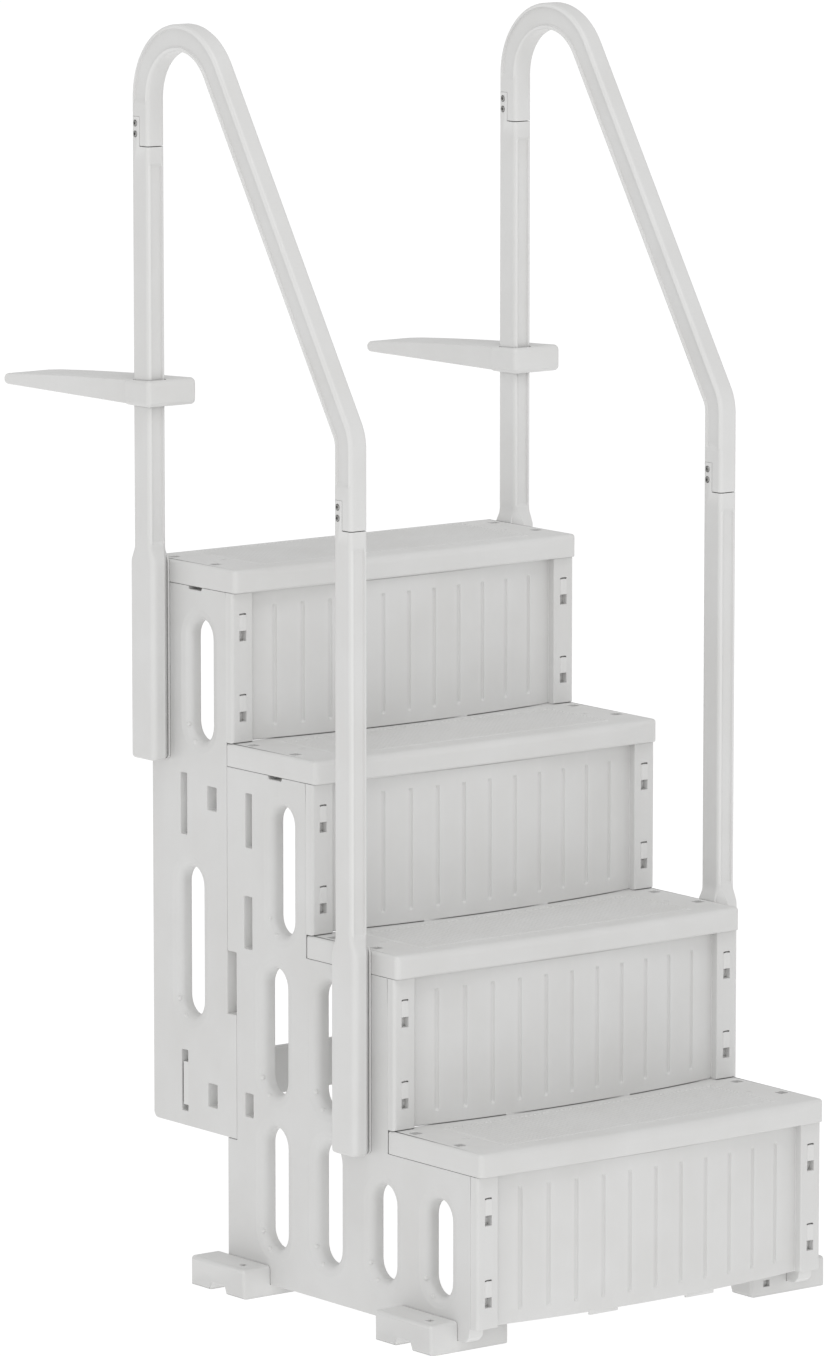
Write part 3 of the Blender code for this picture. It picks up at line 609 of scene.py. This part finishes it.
def make_tread(step, materials):
    low, high = stair_box(f"tread_{step}")
    front = stair_box(f"riser_{step}")[1].y - RETURN_DEPTH

    def nose_weight(u, v):
        """Full rounding along the nose, less towards its corners, on the ends and at the rear."""
        if v > low.y + NOSE_SWEEP + 1 * MM:
            return END_WEIGHT
        return 1.0 - 0.5 * smooth_step((abs(u) - 0.8 * HALF_WIDTH) / (0.17 * HALF_WIDTH))

    bm = bmesh.new()
    edges = (rounding(NOSE_ROUNDING, 7), rounding(LOWER_ROUNDING, 3))
    outline, pockets = tread_outline(low, high), tread_pockets(low, high, front)
    add_plate(bm, upright, low.z, high.z, outline, edges, pockets=pockets, weight=nose_weight)
    rear = high.y - (HATCH_TOP_REAR if step == STEPS else HATCH_REAR)
    add_hatch(bm, -HATCH_HALF, HATCH_HALF, low.y + HATCH_BORDER + NOSE_SWEEP, rear, high.z)
    add_piece(f"moulded_tread_{step}", bm, materials["tread"], f"tread_{step}")


# ---------------------------------------------------------------- risers


def smooth_step(x):
    x = max(0.0, min(1.0, x))
    return x * x * (3 - 2 * x)


def web_y(x):
    """Front surface of the bowed middle, from the flat front of the riser."""
    half = HALF_WIDTH - STRIP_WIDTH
    return WEB_RECESS - WEB_BOW * (1 - (x / half) ** 2)


def riser_columns():
    """Plan of a riser from left to right, as (kind, x, front y, back x, back y)."""
    inner = HALF_WIDTH - STRIP_WIDTH
    r = 5 * MM
    columns = [("end", HALF_WIDTH, RETURN_DEPTH, HALF_WIDTH - 3 * MM, RETURN_DEPTH)]
    for i, (u, v) in enumerate(arc((HALF_WIDTH - r, r), r, 0, -90, 5)):
        columns.append(("end", u, v, HALF_WIDTH - (3.4 + 0.4 * i) * MM, RETURN_DEPTH))
    latch = (LATCH_HALF, LATCH_HALF - LATCH_EDGE, 0.5 * LATCH_HALF)
    steps = [LATCH_X + d for d in latch] + [LATCH_X] + [LATCH_X - d for d in reversed(latch)]
    for x in [LATCH_X + LATCH_HALF + 1.0 * MM] + steps + [LATCH_X - LATCH_HALF - 1.0 * MM, inner + 3 * MM]:
        columns.append(("strip", x, 0.0, x, RETURN_DEPTH))
    for i, (u, v) in enumerate(arc((inner + 2 * MM, 2 * MM), 2 * MM, -90, -180, 4)):
        columns.append(("shoulder", u, v, inner + (2.4 - 0.5 * i) * MM, RETURN_DEPTH))
    foot = inner - 1.2 * MM
    columns.append(("shoulder", inner, web_y(foot) - 1.5 * MM, inner, web_y(foot) + WEB_THICKNESS))
    offsets = [-1.0, -0.85, -0.7, -0.5, 0.0, 0.5, 0.7, 0.85, 1.0]
    xs = [foot, inner - 12 * MM]
    for i in range(GROOVES):
        middle = ((GROOVES - 1) / 2 - i) * GROOVE_PITCH
        xs += [middle - share * GROOVE_REACH for share in offsets]
        if i < GROOVES - 1:
            xs += [middle - GROOVE_PITCH * share for share in (0.25, 0.5, 0.75)]
    xs = [x for x in xs if x >= -1e-6]
    web = [("web", x, web_y(x), x, web_y(x) + WEB_THICKNESS) for x in xs]
    return mirrored_columns(columns + web)


def mirrored_columns(right):
    """The right half, listed from the end inward, with its mirror image before it."""
    left = [(kind, -x, y, -bx, by) for kind, x, y, bx, by in right]
    middle = [column for column in right if abs(column[1]) <= 1e-6]
    return [c for c in left if c[1] < -1e-6] + middle + [c for c in right[::-1] if c[1] > 1e-6]


def latch_tops(top):
    return [top - drop for drop in LATCH_TOPS]


def riser_rows(low, high, top):
    """Levels of a riser's rows of vertices, closer together round the latches and groove ends."""
    rows = [low, low + 0.5 * MM, low + 1.5 * MM, high - 1.5 * MM, high - 0.5 * MM, high]
    for end, sign in ((low + GROOVE_FOOT, 1), (high - GROOVE_HEAD, -1)):
        rows += [end + sign * step * MM for step in (0, 1, 2, 3.5, 5)]
    for tip in latch_tops(top):
        slit, hole = tip - SLIT_HEIGHT, tip - LATCH_HOLE_TOP
        sill = hole - LATCH_HOLE_HEIGHT
        rows += [tip + 1.0 * MM, tip, tip - LATCH_EDGE, slit + LATCH_EDGE, slit, slit - 1.2 * MM]
        rows += [hole + LATCH_EDGE, hole, hole - LATCH_EDGE, sill + LATCH_EDGE, sill, sill - 1 * MM]
    return sorted(rows)


def latch_sink(x, z, top):
    """How far a latch's slit, tongue or window sinks below the strip, and how far its row moves."""
    aside = abs(abs(x) - LATCH_X)
    inside = aside < LATCH_HALF - 0.1 * MM
    shift = -SLIT_ARCH * (aside / LATCH_HALF) ** 2 if aside <= LATCH_HALF + 0.1 * MM else 0.0
    for tip in latch_tops(top):
        hole = tip - LATCH_HOLE_TOP
        if tip - SLIT_HEIGHT - 0.01 * MM <= z <= tip + 0.01 * MM:
            deep = inside and tip - SLIT_HEIGHT + 0.1 * MM < z < tip - 0.1 * MM
            return (SLIT_DEPTH if deep else 0.0), shift
        if hole + 0.1 * MM < z < tip - SLIT_HEIGHT - 0.1 * MM:
            return (-TONGUE_RISE if inside else 0.0), 0.0
        if hole - LATCH_HOLE_HEIGHT + 0.1 * MM < z < hole - 0.1 * MM:
            return (LATCH_DEPTH if inside else 0.0), 0.0
    return 0.0, 0.0


def groove_sink(x, z, low, high):
    """Depth of the nearest groove at a point of the web, fading out at its ends."""
    place = x / GROOVE_PITCH
    aside = abs(place - round(place)) * GROOVE_PITCH
    if abs(round(place)) > (GROOVES - 1) / 2 or aside >= GROOVE_REACH:
        return 0.0
    ends = min(z - (low + GROOVE_FOOT), (high - GROOVE_HEAD) - z) / GROOVE_FADE
    sides = (1 - aside / GROOVE_REACH) / 0.45
    return GROOVE_DEPTH * smooth_step(sides) * smooth_step(ends)


def make_riser(step, materials):
    low, high = stair_box(f"riser_{step}")
    front = high.y - RETURN_DEPTH
    top = stair_box(f"tread_{step}")[1].z
    foot = low.z + TAB_DROP + RISER_LIFT
    rows = riser_rows(foot, high.z, top)
    bm = bmesh.new()
    sheets = []
    for kind, x, y, back_x, back_y in riser_columns():
        column = []
        for z in rows:
            sink, shift = 0.0, 0.0
            if kind == "strip":
                sink, shift = latch_sink(x, z, top)
            elif kind == "web":
                sink = groove_sink(x, z, foot, high.z)
            edge = min(z - foot, high.z - z) / RISER_EDGE
            if edge < 1:
                sink += RISER_EDGE_SINK * (1 - edge) ** 2
            column.append(bm.verts.new((x, front + y + sink, z + shift)))
        back = [bm.verts.new((back_x, front + back_y, z)) for z in (foot, high.z)]
        sheets.append((column, back))
    for (column, back), (next_column, next_back) in zip(sheets, sheets[1:]):
        for i in range(len(rows) - 1):
            bm.faces.new((column[i], next_column[i], next_column[i + 1], column[i + 1]))
        bm.faces.new((back[0], back[1], next_back[1], next_back[0]))
        bm.faces.new((column[0], back[0], next_back[0], next_column[0]))
        bm.faces.new((column[-1], next_column[-1], next_back[1], back[1]))
    for column, back in (sheets[0], sheets[-1]):
        bm.faces.new(column + [back[1], back[0]])
    for centre in TAB_CENTRES:
        y0, y1 = [front + web_y(centre) + depth for depth in TAB_THICKNESS]
        x0, x1 = centre - TAB_WIDTH / 2, centre + TAB_WIDTH / 2
        tab = rounded_rectangle(x0, x1, y0, y1, 1 * MM, 2)
        edges = (rounding(0.3 * MM, 2), rounding(0.8 * MM, 2))
        add_plate(bm, upright, low.z, foot + TAB_ROOT, tab, edges)
    add_piece(f"moulded_riser_{step}", bm, materials["riser"], f"riser_{step}")


# ---------------------------------------------------------------- side panels


def notch_points(middle, top, depth):
    """The finger notch in a panel's top edge, from its rear end to its front end."""
    mouth, floor = NOTCH_HALVES
    points = [(middle + mouth, top), (middle + floor, top - depth)]
    return points + [(middle - floor, top - depth), (middle - mouth, top)]


def front_panel_shape(low, high):
    """Outline, stadium holes and slots of a front side panel, hooked at the rear for the lap."""
    under = [stair_box(f"tread_{step}")[0].z - GAP for step in (1, 2, 3)]
    fronts = [stair_box(f"riser_{step}")[1].y + SEAM for step in (1, 2, 3)]
    rear_panel = stair_box("side_panel_rear_left")[0]
    outline = [(fronts[0], low.z + 23 * MM), (fronts[0] + 3 * MM, low.z + 8 * MM)]
    outline += [(fronts[0] + 12 * MM, low.z), (high.y, low.z), (high.y, rear_panel.z - SEAM)]
    outline += [(rear_panel.y - SEAM, rear_panel.z - SEAM), (rear_panel.y - SEAM, HOOK_TOP)]
    outline += [(high.y, HOOK_TOP), (high.y, under[2])]
    outline += notch_points(fronts[2] + NOTCH_BACK, under[2], NOTCH_DEPTH)
    outline += [(fronts[2], under[2]), (fronts[2], under[1])]
    outline += [(fronts[1], under[1]), (fronts[1], under[0]), (fronts[0], under[0])]
    stadiums = []
    for spans in (LOW_SPANS, MIDDLE_SPANS):
        for number, (bottom, top) in enumerate(spans):
            centre = high.y - HOLE_COLUMN - number * HOLE_PITCH
            stadiums.append((centre, HOLE_WIDTH, bottom * MM, top * MM))
    ahead, width, bottom, top = [size * MM for size in UPPER_HOLE]
    stadiums.append((high.y - HOLE_COLUMN - ahead, width, bottom, top))
    return outline, stadiums, FRONT_SLOTS


def rear_panel_shape(low, high):
    """Outline, stadium holes and slots of a rear side panel, with the tongue of the lap."""
    shoulder = stair_box("side_panel_front_left")[1].y + SEAM
    notch = stair_box("riser_4")[1].y + REAR_NOTCH_BACK
    outline = [(low.y, low.z)] + arc((high.y - 10 * MM, low.z + 10 * MM), 10 * MM, 270, 360, 6)
    outline += [(high.y, high.z)] + notch_points(notch, high.z, REAR_NOTCH_DEPTH)
    outline += [(shoulder, high.z), (shoulder, TONGUE_TOP), (low.y, TONGUE_TOP)]
    stadiums = []
    for centre, bottom, top in REAR_HOLES:
        stadiums.append((centre * MM, HOLE_WIDTH, bottom * MM, top * MM))
    return outline, stadiums, REAR_SLOTS + REAR_SQUARES


def make_side_panel(which, side_name, materials):
    """A slotted side panel, with soft rims and two nubs beside each stadium hole."""
    side = SIDES[side_name]
    node = f"side_panel_{which}_{side_name}"
    low, high = stair_box(node)
    shape = front_panel_shape if which == "front" else rear_panel_shape
    outline, stadiums, slots = shape(low, high)

    def sideways(u, v, w):
        return (side * w, u, v)

    def proud(u, v, w):
        return (side * (HALF_WIDTH - NUB_SINK + w), u, v)

    sag, far = dished(RIM_RADIUS, 6 * MM, 1.2 * MM), rounding(3 * MM)
    holes = [(stadium(*stretch), sag, far) for stretch in stadiums]
    for y0, y1, z0, z1 in slots:
        slot = rounded_rectangle(y0 * MM, y1 * MM, z0 * MM, z1 * MM, 1.5 * MM, 2)
        holes.append((slot, rounding(1.2 * MM, 2), rounding(0.8 * MM, 2)))
    bm = bmesh.new()
    outer, inner = HALF_WIDTH, HALF_WIDTH - (high.x - low.x)
    edge = rounding(1.4 * MM, 3)
    add_plate(bm, sideways, inner, outer, outline, (edge, edge), holes=holes)
    for centre, _, bottom, _ in stadiums:
        for back, rise in NUBS:
            add_dome(bm, proud, (centre + back, bottom + rise), NUB_RADIUS)
    add_piece(f"moulded_{node}", bm, materials["panel"], node)


# ---------------------------------------------------------------- feet and brace


def make_foot(which, side_name, materials):
    """A rounded block astride a panel's bottom edge, with a drain channel underneath."""
    side = SIDES[side_name]
    node = f"foot_{which}_{side_name}"
    low, high = stair_box(node)
    panel = stair_box("side_panel_front_left")
    thickness = panel[1].x - panel[0].x
    middle = (low.y + high.y) / 2
    wide, narrow = FOOT_CHANNEL_HALVES
    deep, r = FOOT_CHANNEL_DEPTH, FOOT_EDGE
    outline = [(low.y, 0.0), (middle - wide, 0.0), (middle - narrow, deep)]
    outline += [(middle + narrow, deep), (middle + wide, 0.0), (high.y, 0.0)]
    outline += arc((high.y - r, high.z - r), r, 0, 90, 4)
    outline += arc((low.y + r, high.z - r), r, 90, 180, 4)
    ends = (side * low.x, side * high.x)

    def sideways(u, v, w):
        return (side * w, u, v)

    bm = bmesh.new()
    edge = rounding(FOOT_EDGE, 4)
    add_plate(bm, sideways, min(ends), max(ends), outline, (edge, edge))
    obj = make_object(f"moulded_{node}", mesh_from(bm, node))
    inner, outer = HALF_WIDTH - thickness - FOOT_GAP, HALF_WIDTH + FOOT_GAP
    x0, x1 = sorted((side * inner, side * outer))
    slot = box_mesh((x0, low.y - PAST, panel[0].z - FOOT_GAP), (x1, high.y + PAST, high.z + PAST))
    aside, back, half, depth = FOOT_MARK
    x, y = side * (HALF_WIDTH + aside), low.y + back
    mark = box_mesh((x - half, y - half, high.z - depth), (x + half, y + half, high.z + depth))
    cutters = [slot, mark]
    if side_name == "right":
        aside, half, depth, (bottom, top) = FOOT_WINDOW
        x = side * (HALF_WIDTH - aside)
        window = box_mesh((x - half, low.y - PAST, bottom), (x + half, low.y + depth, top))
        cutters.append(window)
    carve(obj, cutters)
    finish_piece(obj, materials["foot"], "stair", node, 0.9 * MM)


def make_brace(materials):
    """Cross brace behind the stair, its tongues through the rear panels' lower slots."""
    low, high = stair_box("rear_brace")
    panel = stair_box("side_panel_rear_left")
    shoulder = HALF_WIDTH - (panel[1].x - panel[0].x) - GAP
    notch = BRACE_NOTCH
    outline = [(-shoulder, low.z), (shoulder, low.z), (shoulder, low.z + notch), (high.x, low.z + notch)]
    outline += [(high.x, high.z - notch), (shoulder, high.z - notch), (shoulder, high.z)]
    outline += [(-shoulder, high.z), (-shoulder, high.z - notch), (low.x, high.z - notch)]
    outline += [(low.x, low.z + notch), (-shoulder, low.z + notch)]
    pockets = []
    pitch = 2 * shoulder / BRACE_BAYS
    for i in range(BRACE_BAYS):
        x = -shoulder + i * pitch + BRACE_RIB / 2
        bay = rounded_rectangle(x, x + pitch - BRACE_RIB, low.z + BRACE_RIB, high.z - BRACE_RIB, 4 * MM)
        pockets.append((bay, rounding(0.8 * MM, 2), BRACE_BAY_DEPTH))
    bm = bmesh.new()
    edge = rounding(0.9 * MM, 2)
    add_plate(bm, lambda u, v, w: (u, w, v), low.y, high.y, outline, (edge, edge), pockets=pockets)
    add_piece("moulded_rear_brace", bm, materials["brace"], "rear_brace")


# ---------------------------------------------------------------- posts and handrails


def rail_section(sink_x, sink_y):
    """Rounded rectangle round zero, with a shallow channel in its X faces or its Y faces."""
    half_x, half_y, r = RAIL_WIDTH / 2, RAIL_DEPTH / 2, RAIL_CORNER
    mouth_x, mouth_y = half_x - r - 0.2 * MM, half_y - r - 0.3 * MM
    slope = CHANNEL_SLOPE
    section = arc((half_x - r, half_y - r), r, 0, 90, 4)
    section += [(mouth_x, half_y), (mouth_x - slope, half_y - sink_y)]
    section += [(slope - mouth_x, half_y - sink_y), (-mouth_x, half_y)]
    section += arc((r - half_x, half_y - r), r, 90, 180, 4)
    section += [(-half_x, mouth_y), (sink_x - half_x, mouth_y - slope)]
    section += [(sink_x - half_x, slope - mouth_y), (-half_x, -mouth_y)]
    section += arc((r - half_x, r - half_y), r, 180, 270, 4)
    section += [(-mouth_x, -half_y), (slope - mouth_x, sink_y - half_y)]
    section += [(mouth_x - slope, sink_y - half_y), (mouth_x, -half_y)]
    section += arc((half_x - r, r - half_y), r, 270, 360, 4)
    section += [(half_x, -mouth_y), (half_x - sink_x, slope - mouth_y)]
    section += [(half_x - sink_x, mouth_y - slope), (half_x, mouth_y)]
    return section


def boot_section(inner):
    """Section of a boot, point for point with a rail's: round outside, chamfered to a lip inside."""
    outer, half, r = RAIL_WIDTH / 2 + BOOT_OUT, BOOT_DEPTH / 2, 8 * MM
    neck, foot = BOOT_LIP + BOOT_CHAMFER - inner, half - BOOT_CHAMFER
    section = arc((outer - r, half - r), r, 0, 90, 4)
    section += [(outer - r + (neck - outer + r) * share, half) for share in (0.2, 0.4, 0.6, 0.8)]
    section += [(neck, half), (neck - BOOT_CHAMFER / 2, half - BOOT_CHAMFER / 2)]
    section += [(BOOT_LIP - inner + 0.4 * MM, foot + 0.4 * MM), (BOOT_LIP - inner, foot + BOOT_LIP)]
    section += [(-inner, foot + BOOT_LIP), (-inner, foot * 0.7), (-inner, foot * 0.3)]
    section += [(x, -y) for x, y in reversed(section)]
    return section + [(outer, (half - r) * share) for share in (-0.6, -0.2, 0.2, 0.6)]


def rail_facts(which):
    """Distance of a rail from the middle, and its post's centre, foot and joint level."""
    low, high = stair_box(f"{which}_post_right")
    return high.x - BOOT_OUT - RAIL_WIDTH / 2, (low.y + high.y) / 2, low.z, high.z - LAP


def screw_places(which):
    """Centres of a joint's two screws, as (y, z)."""
    y, joint = rail_facts(which)[1], rail_facts(which)[3]
    return [(y + SCREW_BACK, joint + rise) for rise in SCREW_RISES]


def disc_rings(profile, centre, socket=()):
    """Rings of a turned shape along X; those listed in socket are six-sided."""
    rings = []
    for i, (x, radius) in enumerate(profile):
        ring = arc((0.0, 0.0), radius, 0, 330, 11)
        if i in socket:
            ring = [(u * 0.87, v * 0.87) if j % 2 else (u, v) for j, (u, v) in enumerate(ring)]
        rings.append([(x, centre[0] + u, centre[1] + v) for u, v in ring])
    return rings


def channel_share(z, low, high):
    """How deep a channel is at a level, from 0 beyond its ends to 1 along its middle."""
    return smooth_step(min(z - low, high - z) / CHANNEL_RAMP)


def make_post(which, side_name, materials):
    """A post and its boot in one moulding, with the rear half of the lap joint on top."""
    side = SIDES[side_name]
    distance, y, foot, joint = rail_facts(which)
    boot = boot_section(distance - HALF_WIDTH - GAP)
    boot_top, shaft_foot = foot + BOOT_HEIGHT, foot + BOOT_HEIGHT + BOOT_FLARE
    channel_top = joint - POST_CHANNEL_HEAD
    levels = []
    for inset, rise in rounding(BOOT_TIP):
        shrink = 1 - inset / (BOOT_DEPTH / 2)
        levels.append((foot + rise, [(u * shrink, v * shrink) for u, v in boot]))
    shaft = rail_section(0, 0)
    for i in range(9):
        share = smooth_step(i / 8)
        ring = [(a + (c - a) * share, b + (d - b) * share) for (a, b), (c, d) in zip(boot, shaft)]
        levels.append((boot_top + BOOT_FLARE * i / 8, ring))
    for i in range(1, 5):
        z = shaft_foot + CHANNEL_RAMP * i / 4
        levels.append((z, rail_section(0, CHANNEL_DEPTH * channel_share(z, shaft_foot, channel_top))))
    for i in range(5):
        z = channel_top - CHANNEL_RAMP * (1 - i / 4)
        levels.append((z, rail_section(0, CHANNEL_DEPTH * channel_share(z, shaft_foot, channel_top))))
    levels.append((joint + LAP, shaft))
    bm = bmesh.new()
    add_loft(bm, [[(side * (distance + u), y + v, z) for u, v in ring] for z, ring in levels])
    name = f"{which}_post_{side_name}"
    obj = make_object(f"moulded_{name}", mesh_from(bm, name))
    x = side * distance
    lap = box_mesh((x - RAIL_WIDTH, y - RAIL_DEPTH, joint), (x + RAIL_WIDTH, y + GAP, joint + 2 * LAP))
    cutters = [lap]
    face = x - RAIL_WIDTH / 2
    radius, depth = SCREW_SINK
    for place in screw_places(which):
        sink = bmesh.new()
        add_loft(sink, disc_rings([(face - 3 * MM, radius), (face + depth, radius)], place))
        cutters.append(sink)
    carve(obj, cutters)
    finish_piece(obj, materials["post"], "stair", name, 0.8 * MM)


def bow_path(rear_joint, front_joint):
    """Centre line of a handrail from its rear leg to its front leg, as (y, z, heading)."""
    rear_y, front_y = rail_facts("rear")[1], rail_facts("front")[1]
    rear_end, front_end = BOW_CHANNEL
    reach = rear_y - BOW_RADIUS - front_y
    centre_z = BEND_Z + (reach * math.cos(RAIL_SLANT) - BOW_RADIUS) / math.sin(RAIL_SLANT)
    turn = 180 - math.degrees(RAIL_SLANT)
    rear_leg = [rear_joint + JOINT_GAP, rear_end - CHANNEL_LEAD, centre_z]
    rear_leg += [rear_end + CHANNEL_RAMP * i / 4 for i in range(5)]
    path = [(rear_y, z, 90.0) for z in sorted(rear_leg)]
    crown = arc((rear_y - BOW_RADIUS, centre_z), BOW_RADIUS, 0, turn, 34)
    path += [(y, z, 90 + turn * i / 34) for i, (y, z) in enumerate(crown) if i > 0]
    bend_foot = BEND_Z - BEND_RADIUS * math.tan(RAIL_SLANT / 2)
    bend = arc((front_y + BEND_RADIUS, bend_foot), BEND_RADIUS, turn, 180, 12)
    path += [(y, z, 90 + turn + (180 - turn) * i / 12) for i, (y, z) in enumerate(bend)]
    front_leg = [front_end + CHANNEL_RAMP * (1 - i / 4) for i in range(5)]
    front_leg += [front_end - CHANNEL_LEAD, front_joint + JOINT_GAP]
    return path + [(front_y, z, 270.0) for z in front_leg]


def make_bow(side_name, materials):
    """A handrail: one bent moulding with a shallow channel along both cheeks."""
    side = SIDES[side_name]
    distance, rear_y, _, rear_joint = rail_facts("rear")
    front_y, front_joint = rail_facts("front")[1], rail_facts("front")[3]
    bm = bmesh.new()
    rings = []
    for y, z, heading in bow_path(rear_joint, front_joint):
        end = BOW_CHANNEL[0] if y > (rear_y + front_y) / 2 else BOW_CHANNEL[1]
        sink = CHANNEL_DEPTH * smooth_step((z - end) / CHANNEL_RAMP)
        turn = math.radians(heading)
        ring = []
        for u, v in rail_section(sink, 0):
            ring.append((side * (distance + u), y + v * math.sin(turn), z - v * math.cos(turn)))
        rings.append(ring)
    add_loft(bm, rings)
    name = f"handrail_bow_{side_name}"
    obj = make_object(f"moulded_{name}", mesh_from(bm, name))
    cutters = []
    x = side * distance
    for y, joint in ((rear_y, rear_joint), (front_y, front_joint)):
        low = (x - RAIL_WIDTH, y - GAP, joint - LAP)
        high = (x + RAIL_WIDTH, y + RAIL_DEPTH, joint + LAP + GAP)
        cutters.append(box_mesh(low, high))
    carve(obj, cutters)
    finish_piece(obj, materials["rail"], "stair", name, 0.8 * MM)


def make_screws(which, side_name, materials):
    """Domed socket screws, each in a round recess of its post."""
    face = SIDES[side_name] * rail_facts(which)[0] - RAIL_WIDTH / 2
    profile = [(face + depth * MM, radius * MM) for depth, radius in SCREW_SHANK + SCREW_HEAD]
    for number, place in enumerate(screw_places(which), start=1):
        bm = bmesh.new()
        add_loft(bm, disc_rings(profile, place, socket=(6, 7)))
        name = f"rail_screw_{which}_{side_name}_{number}"
        add_piece(f"socket_{name}", bm, materials["fastener"], name)


# ---------------------------------------------------------------- deck flanges


def flange_outline(low, high):
    """Side view: collar in front with its lower rim, flat underside, crowned top to a round tip."""
    deck, collar = low.z + COLLAR_RIM, low.y + COLLAR_LENGTH
    r, tip = FLANGE_EDGE + 1 * MM, FLANGE_TIP / 2
    outline = arc((low.y + r, low.z + r), r, 180, 270, 4)
    outline += [(collar, low.z), (collar + 6 * MM, deck)]
    outline += arc((high.y - tip, deck + tip), tip, -90, 75, 8)
    fall = high.z - deck - FLANGE_TIP
    for i in range(1, 9):
        share = i / 9
        rise = share + FLANGE_CROWN * share * (1 - share)
        outline.append((high.y + (low.y - high.y) * share, deck + FLANGE_TIP + fall * rise))
    outline += arc((low.y + r, high.z - r), r, 85, 180, 5)
    return outline


def make_flange(side_name, materials):
    """A deck flange: a tapering wedge with an eye for the post and a sunk clamp bolt."""
    name = f"deck_flange_{side_name}"
    low, high = stair_box(name)
    distance, y = rail_facts("rear")[:2]
    x = SIDES[side_name] * distance
    bm = bmesh.new()
    edge = rounding(FLANGE_EDGE, 6)
    add_plate(bm, lambda u, v, w: (w, u, v), low.x, high.x, flange_outline(low, high), (edge, edge))
    obj = make_object(f"moulded_{name}", mesh_from(bm, name))
    half_x, half_y = RAIL_WIDTH / 2 + EYE_CLEARANCE, RAIL_DEPTH / 2 + EYE_CLEARANCE
    hole = rounded_rectangle(x - half_x, x + half_x, y - half_y - EYE_FRONT, y + half_y, RAIL_CORNER, 5)
    eye = bmesh.new()
    add_loft(eye, [[(u, v, z) for u, v in hole] for z in (low.z - PAST, high.z + PAST)])
    pocket = bmesh.new()
    middle = (y, low.z + COLLAR_RIM + CLAMP_LEVEL)
    radius, depth = CLAMP_POCKET
    add_loft(pocket, disc_rings([(high.x - depth, radius), (high.x + PAST, radius)], middle))
    wing_low = (low.x - PAST, low.y + COLLAR_LENGTH, low.z - PAST)
    wing = box_mesh(wing_low, (low.x + WING_RECESS, high.y + PAST, high.z + PAST))
    carve(obj, [eye, pocket, wing])
    finish_piece(obj, materials["flange"], f"flange_{side_name}", name, 1.0 * MM)


# ---------------------------------------------------------------- stage


def make_camera():
    data = bpy.data.cameras.new("camera")
    data.lens = CAMERA_LENS
    data.sensor_width = CAMERA_SENSOR
    data.sensor_fit = "AUTO"
    data.clip_end = 200.0
    camera = bpy.data.objects.new("camera", data)
    bpy.context.scene.collection.objects.link(camera)
    camera.location = CAMERA_PLACE
    camera.rotation_euler = (math.radians(90 - CAMERA_PITCH), 0.0, math.radians(-CAMERA_YAW))
    bpy.context.scene.camera = camera


def make_floor():
    """A wide pale floor, which is not part of the object."""
    material, _, shader = new_material("floor")
    shader.inputs["Base Color"].default_value = (0.12, 0.12, 0.12, 1.0)
    shader.inputs["Roughness"].default_value = 0.9
    shader.inputs["Specular IOR Level"].default_value = 0.1
    shader.inputs["Emission Color"].default_value = (1.0, 1.0, 1.0, 1.0)
    shader.inputs["Emission Strength"].default_value = 0.95
    bm = bmesh.new()
    bmesh.ops.create_grid(bm, x_segments=1, y_segments=1, size=60.0)
    mesh = bpy.data.meshes.new("floor")
    bm.to_mesh(mesh)
    bm.free()
    mesh.materials.append(material)
    floor = make_object("floor", mesh)
    floor.location.z = -0.2 * MM


def add_light(name, place, size, power):
    data = bpy.data.lights.new(name, "AREA")
    data.shape = "DISK"
    data.size = size
    data.energy = power
    light = bpy.data.objects.new(name, data)
    bpy.context.scene.collection.objects.link(light)
    light.location = place
    light.rotation_euler = (Vector((0.0, 0.0, 0.9)) - Vector(place)).to_track_quat("-Z", "Y").to_euler()


def make_lights():
    world = bpy.data.worlds.new("studio")
    bpy.context.scene.world = world
    world.use_nodes = True
    background = world.node_tree.nodes["Background"]
    background.inputs["Color"].default_value = (1.0, 1.0, 1.0, 1.0)
    background.inputs["Strength"].default_value = 0.66
    add_light("top", (-2.0, -3.5, 8.5), 5.0, 170.0)
    add_light("key", (-6.0, -7.5, 3.5), 4.0, 93.0)
    bpy.context.scene.view_settings.view_transform = "Standard"


def main():
    materials = make_materials()
    for name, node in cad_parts.items():
        if "bolt" in name:
            node.data.materials.clear()
            node.data.materials.append(materials["fastener"])
    for step in range(1, STEPS + 1):
        make_tread(step, materials)
        make_riser(step, materials)
    for side_name in SIDES:
        for which in ("front", "rear"):
            make_side_panel(which, side_name, materials)
            make_foot(which, side_name, materials)
            make_post(which, side_name, materials)
            make_screws(which, side_name, materials)
        make_bow(side_name, materials)
        make_flange(side_name, materials)
    make_brace(materials)
    make_camera()
    make_floor()
    make_lights()


main()
